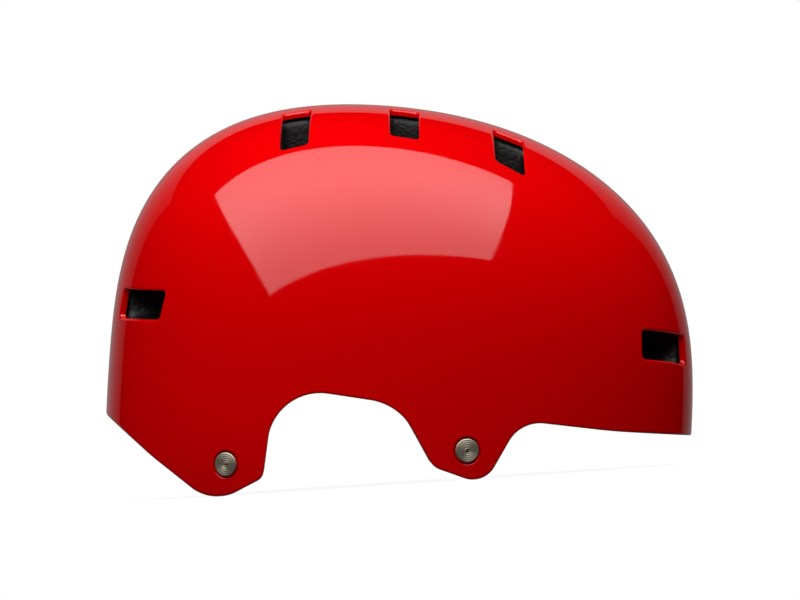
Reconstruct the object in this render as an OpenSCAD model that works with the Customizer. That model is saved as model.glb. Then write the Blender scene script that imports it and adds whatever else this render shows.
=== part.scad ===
// Hard-shell riding helmet: moulded shell, foam liner, comfort pads,
// riveted hangers and a webbing harness with cam dividers and a side-release buckle.
// X points to the brow, Y to the wearer's left, Z up. The rim's lobes stand on Z = 0.

/* [Shell] */
// Length of the shell, brow to back
shell_l = 280.8; // [262:0.2:300]
// Width of the shell, side to side
shell_w = 222; // [206:1:238]
// Height of the crown above the widest level
dome_h = 147.5; // [138:0.5:157]
// Height of the widest level above the lobes
widest_z = 33.2; // [29:0.2:37]
// Wall of the moulded shell
shell_t = 3; // [2:0.1:4]

/* [Dome form] */
// Extra fullness of the dome between brow, crown and nape
shoulder = 0.25; // [0.18:0.01:0.32]
// Extra fullness of the dome between its sides and the crown
side_shoulder = 0.34; // [0.24:0.01:0.4]
// Forward lean of the dome just above the widest level
lean_low = 0.08; // [0.04:0.01:0.12]
// Backward lean of the dome at half height
lean_mid = 0.44; // [0.36:0.01:0.5]
// Forward lean of the dome near the crown
lean_high = 0.24; // [0.16:0.01:0.32]
// Taper of the plan towards the brow
egg = 0.1; // [0.06:0.01:0.14]
// Squareness of the plan at brow and nape
plan_full = 0.06; // [0:0.01:0.1]

/* [Rim] */
// Bend of the nape edge: forward, up, rounding
rim_nape = [-120, 21.2, 150]; // [-200:0.1:200]
// Corner below the rear lobe: forward, up, rounding
rim_rear_lobe = [-92.4, -3.6, 20.3]; // [-200:0.1:200]
// Corner between rear lobe and ear arch: forward, up, rounding
rim_rear_notch = [-67.7, 7.4, 6]; // [-200:0.1:200]
// Rear corner of the ear arch: forward, up, rounding
rim_arch_rear = [-59.1, 50.6, 25]; // [-200:0.1:200]
// Front corner of the ear arch: forward, up, rounding
rim_arch_front = [-1.3, 37.9, 27.5]; // [-200:0.1:200]
// Corner between ear arch and front lobe: forward, up, rounding
rim_front_notch = [13.1, 7.1, 9]; // [-200:0.1:200]
// Corner below the front lobe: forward, up, rounding
rim_front_lobe = [36.5, -3, 12]; // [-200:0.1:200]
// Corner where the lobe meets the brow edge: forward, up, rounding
rim_temple = [56, 26.2, 17]; // [-200:0.1:200]
// Bend of the brow edge: forward, up, rounding
rim_brow = [100, 18.1, 300]; // [-200:0.1:300]
// Rise of the nape edge behind its bend
nape_rise = 1.02; // [0.9:0.01:1.1]
// Fall of the brow edge in front of its bend
brow_fall = 0.125; // [0.05:0.005:0.2]

/* [Vents] */
// Middle of each crown vent along the shell
crown_vent_x = [-41.2, 10.6, 59.3]; // [-80:0.1:80]
// Length of each crown vent across the dome
crown_vent_l = [37.5, 35, 33]; // [24:0.5:40]
// Width of a crown vent along the dome
crown_vent_w = 13.5; // [9:0.5:16]
// Distance of each crown vent's middle from the centre line
crown_vent_y = [47.2, 45.8, 44.8]; // [38:0.1:50]
// Width of a brow vent
brow_vent_l = 35.8; // [24:0.1:40]
// Height of a brow vent
brow_vent_h = 14; // [10:0.2:17]
// Middle of a brow vent: from the centre line, up
brow_vent_at = [40.2, 56.4]; // [20:0.1:80]
// Width of a nape vent
nape_vent_l = 39; // [30:0.5:42]
// Height of a nape vent
nape_vent_h = 13.6; // [10:0.2:17]
// Middle of a nape vent: from the centre line, up
nape_vent_at = [47, 93.3]; // [20:0.1:110]
// Corner rounding of the vents
vent_r = 2.4; // [1:0.1:4]

/* [Foam liner] */
// Thickness of the foam
foam_t = 25; // [20:0.5:30]
// Bonding gap between shell and foam
foam_gap = 0.3; // [0.2:0.05:0.6]
// Height of the foam's edge above the rim
foam_inset = 4; // [2:0.5:8]
// Height of the foam's edge behind the lobes
foam_lobe_z = 24; // [23:0.5:32]
// Thinning of the foam at its lower edge
foam_edge_thin = 12; // [6:0.5:14]
// Depth of the air channels inside the foam
channel_depth = 6; // [3:0.5:9]
// Width of the air channels
channel_w = 15; // [9:0.5:18]

/* [Comfort pads] */
// Thickness of a pad at its crown
pad_t = 8; // [5:0.5:10]
// Diameter of a hook disc
hook_d = 15; // [10:0.5:18]
// Thickness of a hook disc
hook_t = 0.8; // [0.5:0.1:1.2]

/* [Rivets and hangers] */
// Front rivet in side view: forward, up
rivet_front = [29.7, 13.9]; // [-120:0.1:120]
// Rear rivet in side view: forward, up
rivet_rear = [-85, 15]; // [-120:0.1:120]
// Diameter of a rivet head
rivet_head_d = 11.6; // [9:0.1:12.5]
// Diameter of the recess round a rivet head
recess_d = 13.2; // [13:0.1:15]
// Depth of the recess
recess_depth = 0.8; // [0.4:0.1:1.2]
// Diameter of a rivet shank
shank_d = 4.8; // [4:0.1:6]
// Plate thickness of a hanger
hanger_t = 1.2; // [0.8:0.1:1.6]
// Diameter of a hanger's bar
bar_d = 2.6; // [2:0.1:3]
// Distance of the bars inside the shell's inner face
fold_in = 8; // [7.5:0.1:10]
// Height of the bars above the lobes' tips
fold_z = 7; // [6:0.1:8]

/* [Harness] */
// Width of the webbing
strap_w = 15; // [12:0.5:16]
// Thickness of the webbing
strap_t = 1.4; // [1:0.1:1.6]
// Lean of the stowed harness towards the centre line
stow_lean = 30; // [28:0.5:34]
// Height of the divider's centre along the harness plane
divider_v = 110; // [104:0.5:114]
// Distance of the divider's centre in front of the rear bar
divider_u = 42; // [36:0.5:50]
// Forward run of the chin strap, divider's centre to buckle bar
chin_l = 60; // [50:0.5:64]
// Rise of the chin strap
chin_rise = 6; // [0:0.5:8]

/* [Buckle] */
// Width of the buckle
buckle_w = 25; // [24:0.5:28]
// Thickness of the buckle
buckle_t = 10.4; // [10:0.1:12]
// Length of the socket's body
socket_l = 30; // [27:0.5:32]
// Length of the prongs
prong_l = 21; // [18:0.5:22]

/* [Hidden] */

$fn = 40;
fit = 0.3;              // gap between pieces that touch or move past each other
dome_columns = 48;      // facets round the dome
dome_rows = 15;         // facets from rim to crown
arc_steps = 6;          // facets in a rounded corner
reach = 400;            // longer than the helmet, for cuts that go right through
rim_end_x = 170;        // where the rim's outline leaves the shell
rim_floor_z = -70;
centre_x = -0.9;        // middle of the widest level
dome_low = -17;         // direction of the dome's open end, degrees below the widest level

SHELL_RED = [0.86, 0.02, 0.03];
FOAM_BLACK = [0.09, 0.09, 0.10];
PAD_GREY = [0.17, 0.17, 0.18];
WEB_BLACK = [0.05, 0.05, 0.06];
STEEL = [0.72, 0.72, 0.70];
NYLON = [0.12, 0.12, 0.13];

function unit(v) = v / norm(v);
function deg_dir(az, el) = [cos(el) * cos(az), cos(el) * sin(az), sin(el)];
function flip_y(v, side) = [v.x, v.y * side, v.z];

// The dome: a direction from its centre gives a point on it, moved out by grow.
function lean(d) = d.x * (lean_low * d.z - lean_mid * pow(d.z, 3) + lean_high * pow(d.z, 5));
function swell(d) = 1 + (shoulder * d.x * d.x + side_shoulder * d.y * d.y) * d.z * d.z + lean(d);
function plan(d) = (1 - egg * d.x) * (1 + plan_full * d.x * d.x);
function dome_pt(d, grow) =
    [centre_x + (shell_l / 2 + grow) * d.x * swell(d),
     (shell_w / 2 - egg_width + grow) * d.y * plan(d) * swell(d),
     widest_z + (dome_h + grow) * d.z * swell(d)];
egg_width = shell_w / 2 * (sqrt(1 + egg * egg) - 1);

// The direction whose point stands at x, z in side view, on the left side.
function side_dir(x, z, d = [0, 1, 0], tries = 14) =
    tries == 0 ? d
    : let (dx = (x - centre_x) / (shell_l / 2 * swell(d)), dz = (z - widest_z) / (dome_h * swell(d)))
      side_dir(x, z, [dx, sqrt(max(0, 1 - dx * dx - dz * dz)), dz], tries - 1);

function normal_at(d, h = 0.01) =
    let (e = unit(cross([0, 0, 1], d)), f = cross(d, e))
    unit(cross(dome_pt(unit(d + h * e), 0) - dome_pt(unit(d - h * e), 0),
               dome_pt(unit(d + h * f), 0) - dome_pt(unit(d - h * f), 0)));

// A point given in the dome's local frame at d: down the slope, along the level, outwards.
function local_pt(d, v) =
    let (n = normal_at(d), e = unit(cross([0, 0, 1], n)), s = cross(e, n))
    dome_pt(d, 0) + s * v.x + e * v.y + n * v.z;

module on_dome(d) {
    n = normal_at(d);
    translate(dome_pt(d, 0)) rotate([0, 90 - asin(n.z), atan2(n.y, n.x)]) children();
}

module both_sides() {
    children();
    mirror([0, 1, 0]) children();
}

// A closed dome; one more row below it, in the same facets, makes a cavity to cut.
module dome(offset_at, below = 0, columns = dome_columns, rows = dome_rows) {
    dirs = [for (i = [-below : rows - 1], j = [0 : columns - 1])
            deg_dir(360 * j / columns, dome_low + (90 - dome_low) * i / rows)];
    top = len(dirs);
    points = concat([for (d = dirs) dome_pt(d, offset_at(d))],
                    [dome_pt([0, 0, 1], offset_at([0, 0, 1])),
                     [centre_x, 0, dome_pt(dirs[0], 0).z]]);
    sides = [for (i = [0 : rows + below - 2], j = [0 : columns - 1])
             let (a = i * columns + j, b = i * columns + (j + 1) % columns)
             each [[a, a + columns, b + columns], [a, b + columns, b]]];
    ends = [for (j = [0 : columns - 1])
            let (k = (j + 1) % columns, r = top - columns)
            each [[r + j, top, r + k], [j, k, top + 1]]];
    polyhedron(points, concat(sides, ends));
}

// Outlines: corners are rows of x, y and rounding radius.
function flat(p) = [p.x, p.y];
function arc_corner(a, b, c, r) =
    let (u = unit(a - b), w = unit(c - b), half = acos(u * w) / 2,
         m = b + unit(u + w) * r / sin(half),
         p = b + u * r / tan(half) - m, q = b + w * r / tan(half) - m,
         from = atan2(p.y, p.x), turn = (atan2(q.y, q.x) - from + 540) % 360 - 180)
    [for (i = [0 : arc_steps]) m + r * [cos(from + turn * i / arc_steps), sin(from + turn * i / arc_steps)]];
function rounded(path) =
    let (n = len(path) - 1)
    [flat(path[0]),
     for (i = [1 : n - 1]) each arc_corner(flat(path[i - 1]), flat(path[i]), flat(path[i + 1]), path[i].z),
     flat(path[n])];
function left_of(v) = [-v.y, v.x];
function inset_corner(a, b, c, gap) =
    let (n = left_of(unit(flat(b) - flat(a))), m = left_of(unit(flat(c) - flat(b))),
         p = flat(b) + gap * (n + m) / (1 + n * m), bend = n.x * m.y - n.y * m.x)
    [p.x, p.y, bend > 0 ? max(1, b.z - gap) : b.z + gap];
function inset(path, gap) =
    let (n = len(path) - 1)
    [path[0] + [0, gap, 0] * slope_factor(path[0], path[1]),
     for (i = [1 : n - 1]) inset_corner(path[i - 1], path[i], path[i + 1], gap),
     path[n] + [0, gap, 0] * slope_factor(path[n - 1], path[n])];
function slope_factor(a, b) = norm(flat(b) - flat(a)) / abs(b.x - a.x);

rim = [[-rim_end_x, rim_nape.y + nape_rise * (rim_end_x + rim_nape.x), 0],
       rim_nape, rim_rear_lobe, rim_rear_notch, rim_arch_rear, rim_arch_front,
       rim_front_notch, rim_front_lobe, rim_temple, rim_brow,
       [rim_end_x, rim_brow.y - brow_fall * (rim_end_x - rim_brow.x), 0]];

module below_rim(gap) {
    outline = rounded(inset(rim, gap));
    rotate([90, 0, 0]) linear_extrude(reach, center = true)
        polygon(concat(outline, [[rim_end_x, rim_floor_z], [-rim_end_x, rim_floor_z]]));
}

function box_outline(l, w, r) =
    [for (c = [[1, 1, 0], [-1, 1, 90], [-1, -1, 180], [1, -1, 270]], i = [0 : arc_steps / 2])
     [c.x * (l / 2 - r) + r * cos(c.z + 180 * i / arc_steps),
      c.y * (w / 2 - r) + r * sin(c.z + 180 * i / arc_steps)]];

// Vents: crown vents are cut straight down, brow and nape vents straight in.
vent_tilt = 7;           // brow vents rise outwards
nape_tilt = -3.5;        // nape vents fall outwards
crown_turn = [4, 1.5, 0];  // small turn of each crown vent

module vent_cuts(clear) {
    both_sides() {
        for (i = [0 : len(crown_vent_x) - 1])
            translate([crown_vent_x[i], crown_vent_y[i], widest_z + dome_h / 2])
                rotate(crown_turn[i]) linear_extrude(reach)
                    polygon(box_outline(crown_vent_w + 2 * clear, crown_vent_l[i] + 2 * clear, vent_r));
        translate([shell_l / 4, brow_vent_at.x, brow_vent_at.y])
            rotate([vent_tilt, 0, 0]) rotate([90, 0, 90]) linear_extrude(reach)
                polygon(box_outline(brow_vent_l + 2 * clear, brow_vent_h + 2 * clear, vent_r));
        translate([-shell_l / 4, nape_vent_at.x, nape_vent_at.y])
            rotate([nape_tilt, 0, 0]) rotate([90, 0, -90]) linear_extrude(reach)
                polygon(box_outline(nape_vent_l + 2 * clear, nape_vent_h + 2 * clear, vent_r));
    }
}

// Rivets: four, on the local normals of the shell.
function rivet_dirs() =
    [for (side = [1, -1], at = [rivet_front, rivet_rear]) flip_y(side_dir(at.x, at.y), side)];
shank_fit = 0.1;
plate_gap = 1.4;         // the hanger's flat plate behind the curved wall
washer_t = 0.8;
washer_d = 10.4;
stack_t = shell_t + plate_gap + hanger_t + washer_t + 2 * shank_fit;

module shell() {
    color(SHELL_RED)
    difference() {
        dome(function (d) 0);
        dome(function (d) -shell_t, 1);
        below_rim(0);
        vent_cuts(0);
        for (d = rivet_dirs()) on_dome(d) {
            translate([0, 0, -2 * shell_t]) cylinder(h = 4 * shell_t, d = shank_d + 2 * shank_fit);
            translate([0, 0, -recess_depth]) cylinder(h = 4 * shell_t, d = recess_d);
        }
    }
}

// Inner face of the foam: thins towards the lower edge.
thin_from = 0.12;
thin_span = 0.25;
function edge_thin(d) = foam_edge_thin * pow(min(1, max(0, (thin_from - d.z) / thin_span)), 2);
function foam_face(d) = edge_thin(d) - shell_t - foam_gap - foam_t;
foam_columns = 40;
foam_rows = 12;
vent_step = 0.8;         // foam stands back from the vents' edges

module air_channels() {
    intersection() {
        dome(function (d) foam_face(d) + channel_depth, 0, foam_columns, foam_rows);
        both_sides()
            translate([-reach / 2, crown_vent_y[1] - channel_w / 2, 0]) cube([reach, channel_w, reach]);
    }
}

module foam_liner() {
    color(FOAM_BLACK)
    difference() {
        dome(function (d) -shell_t - foam_gap);
        dome(function (d) foam_face(d), 1, foam_columns, foam_rows);
        below_rim(foam_inset);
        translate([rim_nape.x, -reach / 2, rim_floor_z])
            cube([rim_temple.x - rim_nape.x - foam_inset, reach, foam_lobe_z - rim_floor_z]);
        vent_cuts(vent_step);
        air_channels();
        both_sides() strap_reliefs();
    }
}

// Head from the dimple out: share of the radius, height above the seat. Two turned grooves.
rivet_head = [[0, 0.8], [0.21, 0.9], [0.28, 1.5], [0.45, 1.7], [0.5, 1.35], [0.57, 1.6],
              [0.72, 1.4], [0.78, 1.05], [0.83, 1.2], [0.95, 0.7], [1, 0.3], [1, 0]];
// Rolled tail: distance beyond the shank, depth below the washer. Hollow inside.
rivet_tail = [[0, 0], [0.9, 0], [0.9, -0.6], [0.4, -1], [-1, -1], [-1.3, 0.6]];

module rivet() {
    shank_r = shank_d / 2;
    seat = -recess_depth + shank_fit;
    tail_z = -stack_t - shank_fit;
    rotate_extrude()
        polygon(concat([for (p = rivet_head) [p.x * rivet_head_d / 2, seat + p.y]],
                       [[shank_r, seat]], [for (p = rivet_tail) [shank_r + p.x, tail_z + p.y]],
                       [[0, tail_z + rivet_tail[5].y]]));
}

module rivets() {
    color(STEEL) for (d = rivet_dirs()) on_dome(d) rivet();
}

module rivet_washers() {
    color(STEEL) for (d = rivet_dirs()) on_dome(d)
        translate([0, 0, -stack_t]) difference() {
            cylinder(h = washer_t, d = washer_d);
            translate([0, 0, -1]) cylinder(h = washer_t + 2, d = shank_d + 2 * shank_fit);
        }
}

// The harness plane of the left side: u runs forward through both bars, v up the stowed straps.
function inner_pt(at) = local_pt(side_dir(at.x, at.y), [0, 0, -shell_t]);
function bar_at(at) = [inner_pt(at).x, inner_pt(at).y - fold_in, fold_z];
rear_bar = bar_at(rivet_rear);
front_bar = bar_at(rivet_front);
bar_span = norm(front_bar - rear_bar);
bar_yaw = atan2(front_bar.y - rear_bar.y, front_bar.x - rear_bar.x);

bar_clear = 0.25;
loop_half = strap_w / 2;
arm_r = 1.2;
arm_gap = 1.4;           // webbing loop to the slanting arms
arm_splay = 1;           // the arms stand wider apart on the plate than on the bar
bar_half = loop_half + arm_gap + arm_r;
loop_r = bar_d / 2 + bar_clear + strap_t;

module harness_frame() {
    translate(rear_bar) rotate([0, 0, bar_yaw]) rotate([90 + stow_lean, 0, 0]) children();
}

module hanger(at, bar) {
    d = side_dir(at.x, at.y);
    plate_l = 11.2;
    plate_r = 2.5;
    plate_end = bar_half + arm_splay;
    back = -shell_t - plate_gap - hanger_t;
    bar_dir = [cos(bar_yaw), sin(bar_yaw), 0];
    color(STEEL) {
        difference() {
            on_dome(d) translate([0, 0, back]) linear_extrude(hanger_t)
                polygon(box_outline(plate_l, 2 * plate_end + arm_r, plate_r));
            on_dome(d) translate([0, 0, back - 1]) cylinder(h = hanger_t + 2, d = shank_d + 2 * shank_fit);
        }
        for (end = [-1, 1]) hull() {
            translate(local_pt(d, [plate_l / 2 - arm_r, end * -plate_end, back])) sphere(arm_r, $fn = 12);
            translate(bar + bar_dir * end * bar_half) sphere(arm_r, $fn = 12);
        }
        translate(bar) rotate([0, 90, bar_yaw]) cylinder(h = 2 * bar_half, d = bar_d, center = true);
    }
}

// Legs of the harness: flat webbing from a loop on a bar to the divider.
leg_stop = 16.5;         // webbing ends short of the divider's centre
divider_at = [divider_u, divider_v];
function leg_outline(u, half, grow) =
    let (end = divider_at, along = unit(end - [u, 0]), side = left_of(along) * (strap_w / 2 + grow),
         tip = end - along * (leg_stop - grow))
    [[u - half - grow, 0], [u + half + grow, 0], tip - side, tip + side];

module leg(u) {
    difference() {
        union() {
            translate([0, 0, -strap_t / 2]) linear_extrude(strap_t) polygon(leg_outline(u, loop_half, 0));
            translate([u, 0, 0]) rotate([0, 90, 0]) cylinder(h = 2 * loop_half, r = loop_r, center = true);
        }
        translate([u, 0, 0]) rotate([0, 90, 0])
            cylinder(h = 4 * loop_half, d = bar_d + 2 * bar_clear, center = true);
    }
}

relief_clear = 3.5;
module strap_reliefs() {
    harness_frame() for (u = [0, bar_span])
        translate([0, 0, -relief_clear]) linear_extrude(reach / 10)
            polygon(leg_outline(u, loop_half, relief_clear));
}

module rear_strap() {
    color(WEB_BLACK) harness_frame() leg(0);
}

module front_strap() {
    color(WEB_BLACK) harness_frame() leg(bar_span);
}

// Divider: a moulded plate that holds the webbing under a cam lever.
plate_t = 2;
web_fit = strap_t / 2 + fit;
lever_half = 9.5;
lever_t = 2.2;
lever_pin = [12.5, 2.3];  // up the plane and out of it, from the divider's centre
lever_pin_r = 1.1;
pin_clear = 0.05;
pin_end = 0.3;           // the pin stands out of each ear
lever_nose_r = 2.3;
ear_t = 2.2;
corner_r = 3;
divider_corners = [[-13.4, -9.9], [0.5, -17.5], [15, -8.5], [13, 10.5], [9.5, 14.5], [-9.5, 14.5]];

module divider_frame() {
    harness_frame() translate([divider_u, divider_v, 0]) children();
}

module chin_frame() {
    divider_frame() rotate(chin_rise) children();
}

module divider_outline() {
    hull() for (c = divider_corners) translate(c) circle(corner_r, $fn = 24);
}

module divider() {
    ear_x = lever_half + fit + ear_t / 2;
    color(NYLON) divider_frame() difference() {
        union() {
            translate([0, 0, -web_fit - plate_t]) linear_extrude(plate_t) divider_outline();
            translate([0, 0, -web_fit]) linear_extrude(web_fit + strap_t / 2) difference() {
                divider_outline();
                translate(-divider_at) polygon(leg_outline(0, loop_half, fit));
                translate(-divider_at) polygon(leg_outline(bar_span, loop_half, fit));
                translate([-lever_half, -lever_pin.x - 3.5]) square([2 * lever_half, 3 * lever_pin.x]);
                rotate(chin_rise) translate([0, -strap_w / 2 - fit]) square([chin_l, strap_w + 2 * fit]);
            }
            for (end = [-1, 1]) translate([end * ear_x - ear_t / 2, lever_pin.x, 0]) {
                translate([0, 0, lever_pin.y]) rotate([0, 90, 0]) cylinder(h = ear_t, r = lever_nose_r);
                translate([0, -lever_nose_r, -web_fit - plate_t])
                    cube([ear_t, 2 * lever_nose_r, lever_pin.y + web_fit + plate_t]);
            }
        }
        pin_bore();
    }
}

module pin_bore() {
    translate([0, lever_pin.x, lever_pin.y]) rotate([0, 90, 0])
        cylinder(h = reach / 5, r = lever_pin_r + pin_clear, center = true);
}

module divider_pin() {
    color(STEEL) divider_frame() translate([0, lever_pin.x, lever_pin.y]) rotate([0, 90, 0])
        cylinder(h = 2 * (lever_half + fit + ear_t + pin_end), r = lever_pin_r, center = true);
}

module divider_lever() {
    tip = -13;
    rib_r = 0.5;
    rib_step = 2;
    color(NYLON) divider_frame() difference() {
        union() {
            translate([-lever_half, tip, web_fit]) cube([2 * lever_half, lever_pin.x - tip, lever_t]);
            translate([-lever_half, lever_pin.x, lever_pin.y]) rotate([0, 90, 0])
                cylinder(h = 2 * lever_half, r = lever_nose_r - pin_clear);
            for (i = [0 : 3]) translate([0, tip + 2 * rib_r + rib_step * i, web_fit + lever_t])
                rotate([0, 90, 0]) cylinder(h = 2 * (lever_half - rib_step), r = rib_r, center = true);
        }
        pin_bore();
    }
}

// Chin straps: webbing from the divider to a loop on the buckle's bar.
chin_start = 7;
tail_start = 30;
module chin_web(with_tail) {
    difference() {
        union() {
            translate([chin_start, -strap_w / 2, -strap_t / 2])
                cube([chin_l - chin_start, strap_w, strap_t]);
            translate([chin_l, 0, 0]) rotate([90, 0, 0]) cylinder(h = strap_w, r = loop_r, center = true);
            if (with_tail) translate([tail_start, -strap_w / 2, loop_r - strap_t])
                cube([chin_l - tail_start, strap_w, strap_t]);
        }
        translate([chin_l, 0, 0]) rotate([90, 0, 0])
            cylinder(h = 2 * strap_w, d = bar_d + 2 * bar_clear, center = true);
    }
}

module left_chin_strap() {
    color(WEB_BLACK) chin_frame() chin_web(false);
}

module right_chin_strap() {
    color(WEB_BLACK) mirror([0, 1, 0]) chin_frame() chin_web(true);
}

// Buckle: both halves turn on a bar in their webbing loops.
side_wall = 2.6;
bar_box = 5.2;           // from the bar to the buckle's body
cavity_t = 6.6;
cavity_w = buckle_w - 2 * side_wall;
socket_floor = 3;
window_l = 9;
mouth_rim = 7;           // closed ring in front of the windows
bar_rail = 3.2;
frame_t = 6;
plug_base_l = 7;
plug_t = 8;
guide_w = 4.4;
guide_t = 4;
guide_r = 1.6;
prong_w = 2.4;
prong_t = 5;
hook_out = 2.2;
hook_l = 5.5;
hook_back = 0.5;         // slope of the hook's catching face
prong_nose = 2;
slide_fit = 0.5;

module buckle_frame() {
    chin_frame() translate([chin_l, 0, 0]) children();
}

module plate_box(x0, l, w, t, r) {
    translate([x0 + l / 2, 0, -t / 2]) linear_extrude(t) polygon(box_outline(l, w, r));
}

module bar_frame() {
    inner = strap_w + 2 * fit;
    difference() {
        plate_box(-bar_rail - 1, bar_box + bar_rail + 2, buckle_w, frame_t, 2);
        translate([-buckle_w, -inner / 2, -buckle_t]) cube([buckle_w + bar_box, inner, 2 * buckle_t]);
    }
    rotate([90, 0, 0]) cylinder(h = buckle_w - 2, d = bar_d, center = true);
}

module buckle_socket() {
    mouth = bar_box + socket_l;
    color(NYLON) buckle_frame() difference() {
        union() {
            bar_frame();
            plate_box(bar_box, socket_l, buckle_w, buckle_t, 3);
        }
        translate([bar_box + socket_floor, -cavity_w / 2, -cavity_t / 2])
            cube([socket_l, cavity_w, cavity_t]);
        translate([mouth - window_l - mouth_rim, -buckle_w, -cavity_t / 2])
            cube([window_l, 2 * buckle_w, cavity_t]);
    }
}

module buckle_plug() {
    base = bar_box + plug_base_l;
    color(NYLON) mirror([0, 1, 0]) buckle_frame() {
        bar_frame();
        difference() {
            plate_box(bar_box, plug_base_l, buckle_w, plug_t, 2);
            for (end = [-1, 1]) translate([prong_root, end * prong_y, -prong_t / 2 - fit]) {
                cylinder(h = prong_t + 2 * fit, r = prong_w / 2 + fit);
                translate([0, -prong_w / 2 - fit, 0])
                    cube([plug_base_l, prong_w + 2 * fit, prong_t + 2 * fit]);
            }
        }
        plate_box(base - 1, prong_l - 1, guide_w, guide_t, guide_r);
    }
}

prong_y = cavity_w / 2 - slide_fit - prong_w / 2;
prong_root = bar_box + plug_base_l - prong_w;
module prong(end) {
    tip = prong_l - prong_nose;
    color(NYLON) mirror([0, 1, 0]) buckle_frame() translate([prong_root, end * prong_y, -prong_t / 2]) {
        cylinder(h = prong_t, d = prong_w);
        linear_extrude(prong_t) polygon([for (p = [[0, -1, 0], [tip, -1, 0], [prong_l, 0, 0], [tip, 1, 1],
            [tip - hook_l, 1, 1], [tip - hook_l - hook_back, 1, 0], [0, 1, 0]])
            [p.x, end * (p.y * prong_w / 2 + p.z * hook_out)]]);
    }
}

// Keeper: a loop that holds the strap's tail against the chin strap.
keeper_at = 38;
keeper_l = 6;
keeper_wall = 1.5;
module strap_keeper() {
    low = -strap_t / 2 - fit;
    high = loop_r + fit;
    inner_w = strap_w + 2 * fit;
    color(NYLON) mirror([0, 1, 0]) chin_frame() translate([keeper_at, 0, (low + high) / 2])
        rotate([90, 0, 90]) linear_extrude(keeper_l) difference() {
            polygon(box_outline(inner_w + 2 * keeper_wall, high - low + 2 * keeper_wall, keeper_wall));
            square([inner_w, high - low], center = true);
        }
}

// Comfort pads: crowned cushions on the foam's inner face.
hook_lift = 1.2;        // the flat discs bridge the curved foam
pad_stack = hook_lift + hook_t + fit;
draw_in = 0.05;
corner_soft = 0.28;
side_share = 0.42;
over_share = 0.97;       // the outer face spans less than the seat
seam_depth = 0.45;
seam_w = 0.07;
function pad_xy(s, t) = [s * sqrt(1 - corner_soft * t * t) * (1 - draw_in * (1 - t * t)),
                         t * sqrt(1 - corner_soft * s * s) * (1 - draw_in * (1 - s * s))];
function crown_of(s, t) = side_share + (1 - side_share) * sqrt((1 - pow(s, 6)) * (1 - pow(t, 6)));
function seam(s, seams) =
    len(seams) == 0 ? 1 : min([for (q = seams) 1 - seam_depth * exp(-pow((s - q) / seam_w, 2))]);
function pad_dir(c, e, f, span, p) = unit(c + e * tan(span.x) * p.x + f * tan(span.y) * p.y);

module pad(c, span, seams, nu, nv) {
    e = unit(cross([0, 0, 1], c));
    f = cross(c, e);
    grid = [for (j = [0 : nv], i = [0 : nu]) [2 * i / nu - 1, 2 * j / nv - 1]];
    n = len(grid);
    under = [for (g = grid) let (d = pad_dir(c, e, f, span, pad_xy(g.x, g.y)))
             dome_pt(d, foam_face(d) - pad_stack)];
    over = [for (g = grid) let (d = pad_dir(c, e, f, span * over_share, pad_xy(g.x, g.y)))
            dome_pt(d, foam_face(d) - pad_stack - pad_t * crown_of(g.x, g.y) * seam(g.x, seams))];
    w = nu + 1;
    faces = [for (j = [0 : nv - 1], i = [0 : nu - 1]) let (a = j * w + i)
             each [[a, a + w, a + w + 1], [a, a + w + 1, a + 1],
                   [n + a, n + a + w + 1, n + a + w], [n + a, n + a + 1, n + a + w + 1]]];
    ends = [for (i = [0 : nu - 1]) let (a = i, b = nv * w + i)
            each [[a, a + 1, n + a + 1], [a, n + a + 1, n + a],
                  [b + 1, b, n + b], [b + 1, n + b, n + b + 1]]];
    sides = [for (j = [0 : nv - 1]) let (a = j * w, b = j * w + nu)
             each [[a + w, a, n + a], [a + w, n + a, n + a + w],
                   [b, b + w, n + b + w], [b, n + b + w, n + b]]];
    color(PAD_GREY) polyhedron(concat(under, over), concat(faces, ends, sides));
}

// Pads: azimuth and elevation of the middle, half spans in degrees.
brow_angles = [0, 9];
nape_angles = [180, 20];
crown_angles = [180, 83];
temple_angles = [57, 22];
brow_half_angles = [36, 9.5];
nape_half_angles = [26, 8.5];
crown_half_angles = [15, 22];
temple_half_angles = [14, 10];
hook_angle = 13;
module brow_pad() pad(deg_dir(brow_angles.x, brow_angles.y), brow_half_angles, [-0.36, 0.36], 20, 8);
module nape_pad() pad(deg_dir(nape_angles.x, nape_angles.y), nape_half_angles, [0], 16, 8);
module crown_pad() pad(deg_dir(crown_angles.x, crown_angles.y), crown_half_angles, [], 12, 14);
module left_temple_pad() pad(deg_dir(temple_angles.x, temple_angles.y), temple_half_angles, [0], 12, 8);
module right_temple_pad() mirror([0, 1, 0]) left_temple_pad();

function hook_dirs() =
    [for (k = [-1, 1])
     each [deg_dir(brow_angles.x + k * hook_angle, brow_angles.y),
           deg_dir(nape_angles.x + k * hook_angle, nape_angles.y),
           deg_dir(crown_angles.x, crown_angles.y + k * hook_angle),
           deg_dir(temple_angles.x + k * hook_angle / 2, temple_angles.y),
           deg_dir(-temple_angles.x + k * hook_angle / 2, temple_angles.y)]];

module hook_discs() {
    color(WEB_BLACK) for (d = hook_dirs()) {
        n = normal_at(d);
        translate(dome_pt(d, foam_face(d) - hook_lift - hook_t))
            rotate([0, 90 - asin(n.z), atan2(n.y, n.x)]) cylinder(h = hook_t, d = hook_d);
    }
}

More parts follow.
